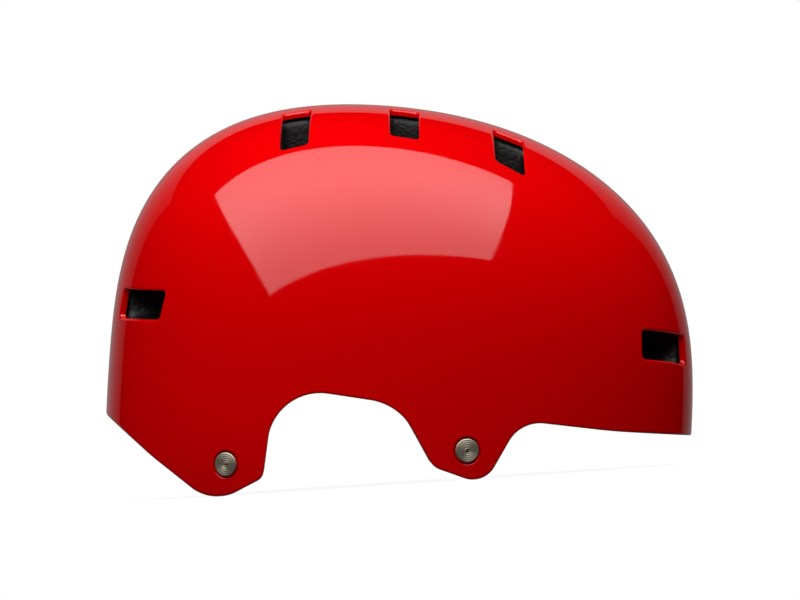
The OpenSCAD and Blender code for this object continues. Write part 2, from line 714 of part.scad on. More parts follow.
shell();
foam_liner();
rivets();
rivet_washers();
hanger(rivet_front, front_bar);  // left_front_hanger
hanger(rivet_rear, rear_bar);  // left_rear_hanger
mirror([0, 1, 0]) hanger(rivet_front, front_bar);  // right_front_hanger
mirror([0, 1, 0]) hanger(rivet_rear, rear_bar);  // right_rear_hanger
hook_discs();
brow_pad();
nape_pad();
crown_pad();
left_temple_pad();
right_temple_pad();
front_strap();  // left_front_strap
rear_strap();  // left_rear_strap
left_chin_strap();
divider();  // left_divider
divider_pin();  // left_divider_pin
divider_lever();  // left_divider_lever
mirror([0, 1, 0]) front_strap();  // right_front_strap
mirror([0, 1, 0]) rear_strap();  // right_rear_strap
right_chin_strap();
mirror([0, 1, 0]) divider();  // right_divider
mirror([0, 1, 0]) divider_pin();  // right_divider_pin
mirror([0, 1, 0]) divider_lever();  // right_divider_lever
buckle_socket();
buckle_plug();
prong(1);  // upper_prong
prong(-1);  // lower_prong
strap_keeper();
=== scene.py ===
# A hard-shell riding helmet, dressed piece by piece from the shell inwards.
# X points to the brow, Y to the wearer's left, Z up; lengths are in metres.
import math

import bmesh
import bpy
import numpy as np
from mathutils import Matrix, Vector, bvhtree, kdtree


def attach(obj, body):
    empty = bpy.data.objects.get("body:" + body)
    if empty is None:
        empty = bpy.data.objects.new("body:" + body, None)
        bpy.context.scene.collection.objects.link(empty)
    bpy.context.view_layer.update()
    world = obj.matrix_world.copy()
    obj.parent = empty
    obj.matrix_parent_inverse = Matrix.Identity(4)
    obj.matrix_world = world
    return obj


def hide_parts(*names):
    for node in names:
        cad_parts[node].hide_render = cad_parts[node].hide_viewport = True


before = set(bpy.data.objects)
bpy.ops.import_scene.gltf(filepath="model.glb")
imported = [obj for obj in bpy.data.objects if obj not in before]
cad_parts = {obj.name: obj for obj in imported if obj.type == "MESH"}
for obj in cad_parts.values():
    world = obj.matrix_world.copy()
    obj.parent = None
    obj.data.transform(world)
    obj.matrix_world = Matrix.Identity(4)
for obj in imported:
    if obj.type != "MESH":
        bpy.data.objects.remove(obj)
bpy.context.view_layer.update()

# Camera: a long lens, square to the helmet's right side, far enough off that the
# two sides of the shell stand behind each other. The helmet's brow is tipped up in the
# picture, which the camera's roll gives.
PICTURE_W = 0.38186
BROW_UP = math.radians(3.82)
AIM = Vector((0.00305, 0.0, 0.08719))
LENS = 1200
SENSOR = 36
LENS_X = -0.045
distance = PICTURE_W / 2 / (SENSOR / 2 / LENS)
eye = Vector((LENS_X, -distance, AIM.z))
look = (AIM - eye).normalized()
right = Vector((math.cos(BROW_UP), 0, -math.sin(BROW_UP)))
right = (right - right.dot(look) * look).normalized()


def in_scene(name, data):
    """A new object, linked to the scene."""
    made = bpy.data.objects.new(name, data)
    bpy.context.scene.collection.objects.link(made)
    return made


camera = in_scene("camera", bpy.data.cameras.new("camera"))
camera.data.lens = LENS
camera.data.sensor_width = SENSOR
camera.data.clip_start, camera.data.clip_end = 1, 60
facing = Matrix((right, right.cross(look), -look)).transposed().to_4x4()
camera.matrix_world = Matrix.Translation(eye) @ facing
bpy.context.scene.camera = camera

# Shell: ABS, injection moulded in one piece, 3 mm thick, polished in the mould to a
# high gloss. Vents and rim have small moulded roundings; four rivet recesses are
# spot-faced after moulding.
SHELL_L, SHELL_W, DOME_H = 0.2808, 0.222, 0.1475
WIDEST_Z, CENTRE_X, SHELL_T = 0.0332, -0.0009, 0.003
SHOULDER, SIDE_SHOULDER = 0.25, 0.34
LEAN_LOW, LEAN_MID, LEAN_HIGH = 0.08, 0.44, 0.24
EGG, PLAN_FULL = 0.1, 0.06
EGG_WIDTH = SHELL_W / 2 * (math.sqrt(1 + EGG * EGG) - 1)
RIM = [(-0.170, 0.0722, 0), (-0.120, 0.0212, 0.150), (-0.0924, -0.0036, 0.0203),
       (-0.0677, 0.0074, 0.006), (-0.0591, 0.0506, 0.025), (-0.0013, 0.0379, 0.0275),
       (0.0131, 0.0071, 0.009), (0.0365, -0.003, 0.012), (0.056, 0.0262, 0.017),
       (0.100, 0.0181, 0.300), (0.170, 0.00935, 0)]
RIM_ROUND, VENT_ROUND, INNER_ROUND = 0.0011, 0.0013, 0.0006
RIVETS = [(0.0297, 0.0139), (-0.085, 0.015)]
RECESS_R, RECESS_DEPTH, MOAT_DEPTH, SHANK_R = 0.0066, 0.0008, 0.0018, 0.0025


def factors(d):
    x, y, z = d.T
    swell = (1 + (SHOULDER * x * x + SIDE_SHOULDER * y * y) * z * z
             + x * (LEAN_LOW * z - LEAN_MID * z ** 3 + LEAN_HIGH * z ** 5))
    plan = (1 - EGG * x) * (1 + PLAN_FULL * x * x)
    return np.stack([swell, plan * swell, swell], 1)


def unit(v):
    return v / np.linalg.norm(v, axis=-1, keepdims=True)


def half_axes(grow):
    return np.array([SHELL_L / 2, SHELL_W / 2 - EGG_WIDTH, DOME_H]) + np.reshape(grow, (-1, 1))


DOME_CENTRE = np.array([CENTRE_X, 0, WIDEST_Z])


def dome(d, grow=0.0):
    """Points of the dome in the directions d, moved out by grow."""
    return DOME_CENTRE + half_axes(grow) * d * factors(d)


def direction(p, grow=0.0):
    """The directions whose points on the dome lie at, or straight over, the points p."""
    d = unit((p - DOME_CENTRE) / half_axes(grow))
    for _ in range(14):
        d = unit((p - DOME_CENTRE) / (half_axes(grow) * factors(d)))
    return d


def outward(d, step=1e-4):
    side = unit(np.cross([0, 0, 1], d) + [1e-9, 0, 0])
    up = np.cross(d, side)
    a = dome(unit(d + step * side)) - dome(unit(d - step * side))
    b = dome(unit(d + step * up)) - dome(unit(d - step * up))
    return unit(np.cross(a, b))


def rounded(corners, steps=20, gap=0.0):
    """An open outline with its corners rounded, moved to its left by gap."""
    c = [np.array(p[:2]) for p in corners]
    along = [unit(b - a) for a, b in zip(c, c[1:])]
    left = [np.array([-t[1], t[0]]) for t in along]
    out = [c[0] + gap * left[0]]
    for k in range(1, len(c) - 1):
        before, after = along[k - 1], along[k]
        bend = before[0] * after[1] - before[1] * after[0]
        r = corners[k][2] - gap if bend > 0 else corners[k][2] + gap
        at = c[k] + gap * (left[k - 1] + left[k]) / (1 + left[k - 1] @ left[k])
        half = math.acos(np.clip(-before @ after, -1, 1)) / 2
        middle = at + unit(after - before) * r / math.sin(half)
        p, q = at - before * r / math.tan(half) - middle, at + after * r / math.tan(half) - middle
        start = math.atan2(p[1], p[0])
        turn = (math.atan2(q[1], q[0]) - start + 3 * math.pi) % (2 * math.pi) - math.pi
        angles = [start + turn * i / steps for i in range(steps + 1)]
        out += [middle + r * np.array([math.cos(a), math.sin(a)]) for a in angles]
    return np.array(out + [c[-1] + gap * left[-1]])


def slot_outline(length, width, r, gap=0.0, steps=12):
    """A closed rounded rectangle, grown by gap."""
    out = []
    for sx, sy, turn in ((1, 1, 0), (-1, 1, 90), (-1, -1, 180), (1, -1, 270)):
        for i in range(steps + 1):
            a = math.radians(turn + 90 * i / steps)
            out.append([sx * (length / 2 - r) + (r + gap) * math.cos(a),
                        sy * (width / 2 - r) + (r + gap) * math.sin(a)])
    return np.array(out)


# Each vent: a point on the line it is cut along, the directions of its length, its width
# and that line, then its length and width. Three crown vents, a brow vent and a nape vent
# on each side.
VENT_R, VENT_REACH = 0.0024, 0.3
# Forward and sideways from the middle, width, and turn in degrees.
CROWN_VENTS = [(-0.0412, 0.0472, 0.0375, 4), (0.0106, 0.0458, 0.035, 1.5), (0.0593, 0.0448, 0.033, 0)]
vents = []
for side in (1, -1):
    for x, y, length, turn in CROWN_VENTS:
        t = math.radians(turn) * side
        vents.append(((x, y * side, 0.107), (math.cos(t), math.sin(t), 0),
                      (-math.sin(t), math.cos(t), 0), (0, 0, 1), 0.0135, length))
    t = math.radians(7) * side
    vents.append(((0.0702, 0.0402 * side, 0.0564), (0, math.cos(t), math.sin(t)),
                  (0, -math.sin(t), math.cos(t)), (1, 0, 0), 0.0358, 0.014))
    t = math.radians(-3.5) * side
    vents.append(((-0.0702, 0.047 * side, 0.0933), (0, -math.cos(t), -math.sin(t)),
                  (0, -math.sin(t), math.cos(t)), (-1, 0, 0), 0.039, 0.0136))


def prism(bm, outline, origin, across, up, along, depth):
    """A closed bar with the given outline, from origin along the direction along."""
    origin, across, up, along = (np.array(v, float) for v in (origin, across, up, along))
    face = bm.faces.new([bm.verts.new(origin + across * a + up * b) for a, b in outline])
    face.normal_update()
    if face.normal.dot(along) < 0:
        face.normal_flip()
    made = bmesh.ops.extrude_face_region(bm, geom=[face])["geom"]
    far_end = [v for v in made if isinstance(v, bmesh.types.BMVert)]
    bmesh.ops.translate(bm, vec=Vector(along * depth), verts=far_end)


def rivet_axes():
    """For each rivet: the point on the shell and the outward line there."""
    out = []
    for side in (1, -1):
        for x, z in RIVETS:
            d = np.array([[0.0, 1.0, 0.0]])
            for _ in range(20):
                f = factors(d)[0]
                dx = (x - CENTRE_X) / (SHELL_L / 2 * f[0])
                dz = (z - WIDEST_Z) / (DOME_H * f[2])
                d = np.array([[dx, math.sqrt(max(0, 1 - dx * dx - dz * dz)), dz]])
            p, n = dome(d)[0], outward(d)[0]
            out.append((p * [1, side, 1], n * [1, side, 1]))
    return out


def frame_on(n):
    e = unit(np.cross([0, 0, 1], n))
    return e, np.cross(n, e)


def below_rim(bm, gap):
    line = rounded(RIM, gap=gap)
    outline = np.vstack([line, [[0.170, -0.200], [-0.170, -0.200]]])
    prism(bm, outline, (0, 0.2, 0), (1, 0, 0), (0, 0, 1), (0, -1, 0), 0.4)


def to_object(bm, name):
    mesh = bpy.data.meshes.new(name)
    bm.to_mesh(mesh)
    bm.free()
    return in_scene(name, mesh)


def cut(body, cutter):
    """Subtracts cutter from body, and returns the result as a bmesh."""
    tool, blank = to_object(cutter, "cutter"), to_object(body, "blank")
    step = blank.modifiers.new("cut", "BOOLEAN")
    step.object, step.operation, step.solver = tool, "DIFFERENCE", "MANIFOLD"
    result = bmesh.new()
    result.from_mesh(blank.evaluated_get(bpy.context.evaluated_depsgraph_get()).to_mesh())
    for o in (tool, blank):
        bpy.data.objects.remove(o)
    return result


def egg_shape(grow_at):
    """A closed egg, grow_at(directions) outside the dome."""
    bm = bmesh.new()
    bmesh.ops.create_uvsphere(bm, u_segments=SEGMENTS, v_segments=RINGS, radius=1)
    d = unit(np.array([v.co for v in bm.verts]))
    for v, p in zip(bm.verts, dome(d, grow_at(d))):
        v.co = p
    return bm


def vent_bars(bm, gap):
    """A bar through each vent, wider than the vent by gap on every side."""
    for origin, across, up, along, length, width in vents:
        prism(bm, slot_outline(length, width, VENT_R, gap), origin, across, up, along, VENT_REACH)


RIVET_AXES = rivet_axes()
SEGMENTS, RINGS = 240, 120
egg = egg_shape(lambda d: 0.0)
knife = bmesh.new()
below_rim(knife, RIM_ROUND)
vent_bars(knife, VENT_ROUND)
for p, n in RIVET_AXES:
    e, f = frame_on(n)
    ring = slot_outline(2 * RECESS_R, 2 * RECESS_R, RECESS_R, INNER_ROUND, 24)
    prism(knife, ring, p - n * 0.006, e, f, n, 0.02)
shell = cut(egg, knife)
SHADE = shell.verts.layers.float_vector.new("shade")
SAME = shell.verts.layers.int.new("same")

# Only the dome's own faces stay: walls and floors of the cuts are built below.
co = np.array([v.co for v in shell.verts])
d_all = direction(co)
on_dome = np.linalg.norm(dome(d_all) - co, axis=1) < 1e-4
n_all = outward(d_all)
shell.verts.index_update()
drop = []
for face in shell.faces:
    index = [v.index for v in face.verts]
    face.normal_update()
    if not on_dome[index].all() or Vector(n_all[index].mean(0)).dot(face.normal) < 0.7:
        drop.append(face)
bmesh.ops.delete(shell, geom=drop, context="FACES")
bmesh.ops.dissolve_degenerate(shell, dist=2e-6, edges=shell.edges)
d_all = direction(np.array([v.co for v in shell.verts]))
for k, (v, p, n) in enumerate(zip(shell.verts, dome(d_all), outward(d_all))):
    v.co, v[SHADE], v[SAME] = p, n, k

# Every cut edge knows the wall it leads into: q points out of the material, across the wall.
rim_line = rounded(RIM, steps=60)


def toward(line, p):
    """The unit vector from p to the nearest point of a line."""
    a, ab = line[:-1], line[1:] - line[:-1]
    t = np.clip(((p - a) * ab).sum(1) / (ab * ab).sum(1), 0, 1)
    q = a + ab * t[:, None]
    return unit(q[np.argmin(((q - p) ** 2).sum(1))] - p)


def vent_wall(p):
    for origin, across, up, along, length, width in vents:
        origin, across, up, along = (np.array(v, float) for v in (origin, across, up, along))
        u, v = (p - origin) @ across, (p - origin) @ up
        if (p - origin) @ along > 0 and abs(u) < length / 2 + 0.002 and abs(v) < width / 2 + 0.002:
            line = slot_outline(length, width, VENT_R, 0, 40)
            to = toward(np.vstack([line, line[:1]]), np.array([u, v]))
            return across * to[0] + up * to[1]
    return None


def bend(a, corner, b, t):
    """Points of the round that leaves a towards the corner and ends at b."""
    t = np.reshape(t, (-1, 1))
    return (1 - t) ** 2 * a + 2 * t * (1 - t) * corner + t * t * b


def between(n, q, t):
    t = np.reshape(t, (-1, 1))
    return unit((1 - t) * n + t * q)


def edge_rows(p, n):
    """Eight points, with their normals, from a cut edge round to the shell's inner face."""
    for c, axis in RIVET_AXES:
        radial = (p - c) - axis * ((p - c) @ axis)
        if np.linalg.norm(p - c) < RECESS_R + 2 * INNER_ROUND:
            radial = unit(radial)
            top = p - radial * INNER_ROUND
            third = [1 / 3, 2 / 3, 1]
            rows = list(bend(p, top, top - axis * INNER_ROUND * 0.7, third))
            shades = list(between(n, -radial, third))
            for r, depth, shade in ((RECESS_R, MOAT_DEPTH - 0.00012, -radial),
                                    (RECESS_R - 0.00015, MOAT_DEPTH, axis),
                                    (SHANK_R, RECESS_DEPTH, axis), (SHANK_R, SHELL_T, -axis)):
                rows.append(c + radial * r - axis * depth)
                shades.append(shade)
            d = direction(p[None])
            rows.append(dome(d, -SHELL_T)[0])
            shades.append(-n)
            return np.array(rows), np.array(shades)
    q, r = vent_wall(p), VENT_ROUND
    if q is None:
        to = toward(rim_line, p[[0, 2]])
        q, r = np.array([to[0], 0, to[1]]), RIM_ROUND
    lean = q @ n
    across = math.sqrt(1 - lean * lean)
    side, down = (q - lean * n) / across, (lean * q - n) / across
    corner = p + side * r / across
    low = corner + down * SHELL_T / across
    quarter, third = [0.25, 0.5, 0.75, 1], [1 / 3, 2 / 3, 1]
    rows = [bend(p, corner, corner + down * r / across, quarter), [low - down * INNER_ROUND],
            bend(low - down * INNER_ROUND, low, low - side * INNER_ROUND, third)]
    shades = [between(n, q, quarter), [q], between(q, -n, third)]
    return np.vstack(rows), np.vstack(shades)


border = {v[SAME]: edge_rows(np.array(v.co), np.array(v[SHADE])) for v in shell.verts if v.is_boundary}
edges = [e for e in shell.edges if e.is_boundary]
copied = bmesh.ops.duplicate(shell, geom=shell.verts[:] + shell.edges[:] + shell.faces[:])["geom"]
bmesh.ops.reverse_faces(shell, faces=[f for f in copied if isinstance(f, bmesh.types.BMFace)])
inner = {v[SAME]: v for v in copied if isinstance(v, bmesh.types.BMVert)}
for row in range(8):
    made = bmesh.ops.extrude_edge_only(shell, edges=edges)["geom"]
    ring = {v for v in made if isinstance(v, bmesh.types.BMVert)}
    edges = [e for e in made if isinstance(e, bmesh.types.BMEdge) and ring.issuperset(e.verts)]
    for v in ring:
        v.co, v[SHADE] = border[v[SAME]][0][row], border[v[SAME]][1][row]

# The inner face follows the dome 3 mm further in, and is drawn to the foot of each wall.
BLEND = 0.012
ids = list(inner)
d_all = direction(np.array([inner[k].co for k in ids]))
place = dome(d_all, -SHELL_T)
is_border = np.array([k in border for k in ids])
feet = np.array([border[k][0][7] for k in np.array(ids)[is_border]])
shift = feet - place[is_border]
tree = kdtree.KDTree(len(feet))
for k, p in enumerate(place[is_border]):
    tree.insert(p, k)
tree.balance()
for k in np.flatnonzero(~is_border):
    _, near, gap = tree.find(place[k])
    if gap < BLEND:
        ease = 1 - gap / BLEND
        place[k] += shift[near] * ease * ease * (3 - 2 * ease)
d_all = direction(place, -SHELL_T)
place = dome(d_all, -SHELL_T)
place[is_border] = feet
for k, p, n in zip(ids, place, outward(d_all)):
    inner[k].co, inner[k][SHADE] = p, -n
bmesh.ops.weld_verts(shell, targetmap={v: inner[v[SAME]] for v in ring})
bmesh.ops.recalc_face_normals(shell, faces=shell.faces)
for face in shell.faces:
    face.smooth = True
shade = [Vector(v[SHADE]).normalized() for v in shell.verts]
shell.verts.layers.float_vector.remove(SHADE)
shell.verts.layers.int.remove(shell.verts.layers.int["same"])
shell_piece = to_object(shell, "helmet_shell")
shell_piece.data.normals_split_custom_set_from_vertices(shade)
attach(shell_piece, "helmet")
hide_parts("shell")


def colour(code):
    """An sRGB hex code as the linear colour that nodes take."""
    parts = [int(code[k:k + 2], 16) / 255 for k in (1, 3, 5)]
    return [c / 12.92 if c <= 0.04045 else ((c + 0.055) / 1.055) ** 2.4 for c in parts] + [1]


def tones(first, second):
    """The two colours that a node mixes."""
    return {"Color1": colour(first), "Color2": colour(second)}


def add(tree, kind, inputs=None, **settings):
    """Adds a node. An input is a value, or the output that it is linked to."""
    node = tree.nodes.new("ShaderNode" + kind)
    for name, value in settings.items():
        setattr(node, name, value)
    for name, value in (inputs or {}).items():
        if isinstance(value, bpy.types.NodeSocket):
            tree.links.new(value, node.inputs[name])
        else:
            node.inputs[name].default_value = value
    return node


def new_material(name):
    material = bpy.data.materials.new(name)
    material.use_nodes = True
    material.node_tree.nodes.clear()
    return material, material.node_tree


def dress(piece, material):
    """Gives the whole piece one material."""
    piece.data.materials.clear()
    piece.data.materials.append(material)


# Red ABS, polished in the mould: a clear, deep gloss with hardly any waviness, and faint
# handling scuffs that only the edge of a highlight gives away.
red_abs, tree = new_material("red_abs_mould_polished")
where = add(tree, "TexCoord").outputs["Object"]
scuffs = add(tree, "TexNoise", {"Vector": where, "Scale": 90.0, "Detail": 4.0, "Roughness": 0.6})
rough = add(tree, "MapRange", {"Value": scuffs.outputs["Fac"], "From Min": 0.35, "From Max": 0.75,
                               "To Min": 0.035, "To Max": 0.075})
flow = add(tree, "TexNoise", {"Vector": where, "Scale": 60.0, "Detail": 1.0})
wave = add(tree, "Bump", {"Height": flow.outputs["Fac"], "Strength": 0.03, "Distance": 0.0004})
skin = add(tree, "BsdfPrincipled", {"Base Color": colour("#E00003"), "Roughness": rough.outputs["Result"],
                                    "IOR": 1.52, "Normal": wave.outputs["Normal"]})
add(tree, "OutputMaterial", {"Surface": skin.outputs["BSDF"]})
dress(shell_piece, red_abs)

# Foam liner: black expanded polystyrene, moulded in steam from beads about 3 mm across,
# 25 mm thick and thinner at its edge, with air channels under the crown vents and hollows
# for the stowed straps. Bonded inside the shell.
FOAM_GAP, FOAM_T, FOAM_INSET, FOAM_LOBE_Z = 0.0003, 0.025, 0.004, 0.024
THIN_BY, THIN_FROM, THIN_SPAN = 0.012, 0.12, 0.25
CHANNEL_Y, CHANNEL_W, CHANNEL_DEPTH, CHANNEL_EASE = 0.0458, 0.019, 0.006, 0.003
VENT_STEP = 0.0008
FOAM_VOXEL = 0.002


def foam_face(d):
    """How far the foam's inner face lies outside the dome, which is a negative length."""
    thin = THIN_BY * np.clip((THIN_FROM - d[:, 2]) / THIN_SPAN, 0, 1) ** 2
    return thin - SHELL_T - FOAM_GAP - FOAM_T


def channelled(d):
    """The inner face with its two air channels."""
    y = np.abs(dome(d, foam_face(d))[:, 1])
    side = np.clip((CHANNEL_W / 2 + CHANNEL_EASE / 2 - np.abs(y - CHANNEL_Y)) / CHANNEL_EASE, 0, 1)
    return foam_face(d) + CHANNEL_DEPTH * side * (d[:, 2] > 0)


# The left side's harness plane: it hinges on the two hanger bars and leans inwards as
# stowed. Its axes run forward along the bars, up the straps, and in towards the head.
FOLD_IN, FOLD_Z, STOW_LEAN = 0.008, 0.007, math.radians(30)
STRAP_W, STRAP_T, BAR_D, BAR_CLEAR = 0.015, 0.0014, 0.0026, 0.00025
DIVIDER_AT, LEG_STOP = np.array([0.042, 0.110]), 0.0165


def bar_at(k):
    p, n = RIVET_AXES[k]
    return (p - n * SHELL_T) * [1, 1, 0] + [0, -FOLD_IN, FOLD_Z]


front_bar, rear_bar = bar_at(0), bar_at(1)
bar_span = np.linalg.norm(front_bar - rear_bar)
forward = unit(front_bar - rear_bar)
level = np.cross([0, 0, 1], forward)
up_strap = -level * math.sin(STOW_LEAN) + np.array([0, 0, math.cos(STOW_LEAN)])
to_head = np.cross(forward, up_strap)


def on_harness(a, b, c=0.0, side=1):
    """A point of the harness plane: forward from the rear bar, up the straps, towards the head."""
    return (rear_bar + forward * a + up_strap * b + to_head * c) * [1, side, 1]


def leg_corners(u, grow=0.0):
    """The four corners of a strap leg, from the bar to the divider."""
    along = unit(DIVIDER_AT - [u, 0])
    half = STRAP_W / 2 + grow
    across, tip = np.array([-along[1], along[0]]) * half, DIVIDER_AT - along * (LEG_STOP - grow)
    return [np.array([u - half, 0]), np.array([u + half, 0]), tip - across, tip + across]


RELIEF_DEPTH, RELIEF_CLEAR = 0.0035, 0.0052
liner = cut(egg_shape(lambda d: np.full(len(d), -SHELL_T - FOAM_GAP)), egg_shape(channelled))
knife = bmesh.new()
below_rim(knife, FOAM_INSET)
liner = cut(liner, knife)
knife = bmesh.new()
back, front = RIM[1][0], RIM[8][0] - FOAM_INSET
prism(knife, [[back, -0.2], [front, -0.2], [front, FOAM_LOBE_Z], [back, FOAM_LOBE_Z]],
      (0, 0.2, 0), (1, 0, 0), (0, 0, 1), (0, -1, 0), 0.4)
liner = cut(liner, knife)
knife = bmesh.new()
vent_bars(knife, VENT_STEP)
liner = cut(liner, knife)
for u in (0, bar_span):
    knife = bmesh.new()
    for side in (1, -1):
        prism(knife, leg_corners(u, RELIEF_CLEAR), on_harness(0, 0, -RELIEF_DEPTH, side),
              forward * [1, side, 1], up_strap * [1, side, 1], to_head * [1, side, 1], 0.04)
    liner = cut(liner, knife)
foam = to_object(liner, "bead_foam_liner")
step = foam.modifiers.new("beads", "REMESH")
step.mode, step.voxel_size, step.use_smooth_shade = "VOXEL", FOAM_VOXEL, True
step = foam.modifiers.new("soft_edges", "SMOOTH")
step.factor, step.iterations = 0.5, 4


def settle(piece):
    """Applies the piece's modifiers."""
    made = bpy.data.meshes.new_from_object(piece.evaluated_get(bpy.context.evaluated_depsgraph_get()))
    piece.modifiers.clear()
    piece.data = made


settle(foam)
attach(foam, "helmet")
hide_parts("foam_liner")

# Moulded bead foam: the beads' outlines show as a fine net of grooves in a matt, slightly
# glossy black skin.
BEAD = 0.0032
bead_foam, tree = new_material("black_eps_bead_foam")
where = add(tree, "TexCoord").outputs["Object"]
beads = add(tree, "TexVoronoi", {"Vector": where, "Scale": 1 / BEAD}, feature="DISTANCE_TO_EDGE")
groove = add(tree, "MapRange", {"Value": beads.outputs["Distance"], "From Max": 0.28},
             interpolation_type="SMOOTHSTEP")
tone = add(tree, "TexVoronoi", {"Vector": where, "Scale": 1 / BEAD})
shade = add(tree, "SeparateXYZ", {"Vector": tone.outputs["Color"]})
tint = add(tree, "MixRGB", {"Fac": shade.outputs["X"], **tones("#080706", "#181413")})
skin = add(tree, "BsdfPrincipled", {
    "Base Color": tint.outputs["Color"], "Roughness": 0.5,
    "Normal": add(tree, "Bump", {"Height": groove.outputs["Result"], "Strength": 0.7,
                                 "Distance": 0.00015}).outputs["Normal"]})
add(tree, "OutputMaterial", {"Surface": skin.outputs["BSDF"]})
dress(foam, bead_foam)

# Rivets: stainless steel, turned, then set from inside over a washer. Each head is a low
# disc with fine turned grooves and a dimple at its centre, seated in a recess of the shell.
HEAD_FIT, STACK_T, RIVET_R, FILLET = 0.0001, 0.0066, 0.0024, 0.0001
# From the centre out: radius and height above the recess floor, in millimetres.
HEAD = [(0, -0.7), (0.1, -0.7), (0.75, 0.3), (0.95, 1.1), (1.2, 1.22), (1.55, 0.98), (1.9, 1.2), (2.4, 1.22),
        (2.65, 1.06), (2.9, 1.22), (3.4, 1.22), (3.6, 1.08), (3.8, 1.2), (4.4, 1.18), (4.6, 1.02),
        (4.8, 1.14), (5.3, 1.1), (5.6, 0.85), (5.75, 0.4), (5.75, 0)]
# The rolled tail: beyond the shank, below the washer, in millimetres.
TAIL = [(0, 0), (0.1, 0), (0.8, 0), (0.9, -0.6), (0.4, -1), (-1, -1), (-1.3, 0.6), (-2.4, 0.6)]


def smoothed(line, times):
    """An open line of points with its corners cut."""
    line = np.array(line, float)
    for _ in range(times):
        middle = np.stack([0.75 * line[:-1] + 0.25 * line[1:], 0.25 * line[:-1] + 0.75 * line[1:]], 1)
        line = np.vstack([line[:1], middle.reshape(-1, 2), line[-1:]])
    return line


def lathe(profile, steps=72):
    """Spins a profile of radius and height round Z into a closed piece, rounding its corners."""
    bm = bmesh.new()
    verts = [bm.verts.new((r, 0, z)) for r, z in smoothed(profile, 2)]
    edges = [bm.edges.new(pair) for pair in zip(verts, verts[1:])]
    bmesh.ops.spin(bm, geom=verts + edges, axis=(0, 0, 1), cent=(0, 0, 0), angle=2 * math.pi, steps=steps,
                   use_merge=True)
    bmesh.ops.remove_doubles(bm, verts=bm.verts, dist=1e-6)
    bmesh.ops.recalc_face_normals(bm, faces=bm.faces)
    turning = bm.loops.layers.uv.new("turning")
    for face in bm.faces:
        face.smooth = True
        for loop in face.loops:
            x, y, z = loop.vert.co
            loop[turning].uv = (math.hypot(x, y), z)
    return bm


def join(name, parts):
    """One object from several bmeshes, each with its place."""
    whole = bmesh.new()
    for bm, place in parts:
        bm.transform(place)
        mesh = bpy.data.meshes.new("part")
        bm.to_mesh(mesh)
        whole.from_mesh(mesh)
        bpy.data.meshes.remove(mesh)
    return to_object(whole, name)


def rivet_place(k):
    p, n = RIVET_AXES[k]
    e, f = frame_on(n)
    return Matrix.Translation(p) @ Matrix(np.array([e, f, n]).T.tolist()).to_4x4()


seat = -RECESS_DEPTH + HEAD_FIT
tail = -STACK_T - HEAD_FIT
profile = [(r / 1000, seat + h / 1000) for r, h in HEAD]
profile += [(RIVET_R + FILLET, seat), (RIVET_R, seat), (RIVET_R, seat - FILLET), (RIVET_R, tail + FILLET)]
profile += [(RIVET_R + r / 1000, tail + h / 1000) for r, h in TAIL]
rivets = join("turned_rivets", [(lathe(profile), rivet_place(k)) for k in range(4)])
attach(rivets, "helmet")
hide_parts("rivets")

# Turned stainless steel: a warm grey with faint rings a tenth of a millimetre apart, drawn
# here at a quarter so that they show.
RING = 0.00025
turned_steel, tree = new_material("stainless_steel_turned")
on_face = add(tree, "SeparateXYZ", {"Vector": add(tree, "UVMap", uv_map="turning").outputs["UV"]})
rings = add(tree, "Math", {0: on_face.outputs["X"], 1: 2 * math.pi / RING}, operation="MULTIPLY")
rings = add(tree, "Math", {0: rings.outputs[0]}, operation="SINE")
stain = add(tree, "TexNoise", {"Vector": add(tree, "TexCoord").outputs["Object"], "Scale": 700.0})
steel = add(tree, "MixRGB", {"Fac": stain.outputs["Fac"], **tones("#BDB29D", "#DCD1BC")})
skin = add(tree, "BsdfPrincipled", {
    "Base Color": steel.outputs["Color"], "Metallic": 1.0, "Roughness": 0.5,
    "Normal": add(tree, "Bump", {"Height": rings.outputs[0], "Strength": 0.25,
                                 "Distance": 0.00004}).outputs["Normal"]})
add(tree, "OutputMaterial", {"Surface": skin.outputs["BSDF"]})
dress(rivets, turned_steel)

# Hangers and washers: sheet steel, stamped, with two wire arms and a cross bar welded on,
# then zinc plated. A rivet clamps each hanger's plate behind the shell, under a washer.
def softened(node, width, name, body):
    """A copy of a CAD piece with its sharp edges rounded, riding and named as the piece is."""
    bm = bmesh.new()
    bm.from_mesh(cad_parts[node].data)
    bmesh.ops.remove_doubles(bm, verts=bm.verts, dist=2e-6)
    bmesh.ops.dissolve_limit(bm, angle_limit=math.radians(1), verts=bm.verts, edges=bm.edges)
    sharp = [e for e in bm.edges if e.calc_face_angle() > math.radians(30)]
    bmesh.ops.bevel(bm, geom=sharp, offset=width, offset_type="OFFSET", segments=3, profile=0.5,
                    affect="EDGES", material=-1)
    bmesh.ops.triangulate(bm, faces=[f for f in bm.faces if len(f.verts) > 4])
    for face in bm.faces:
        face.smooth = True
    piece = to_object(bm, name)
    piece.modifiers.new("even_shading", "WEIGHTED_NORMAL")
    settle(piece)
    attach(piece, body)
    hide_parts(node)
    return piece


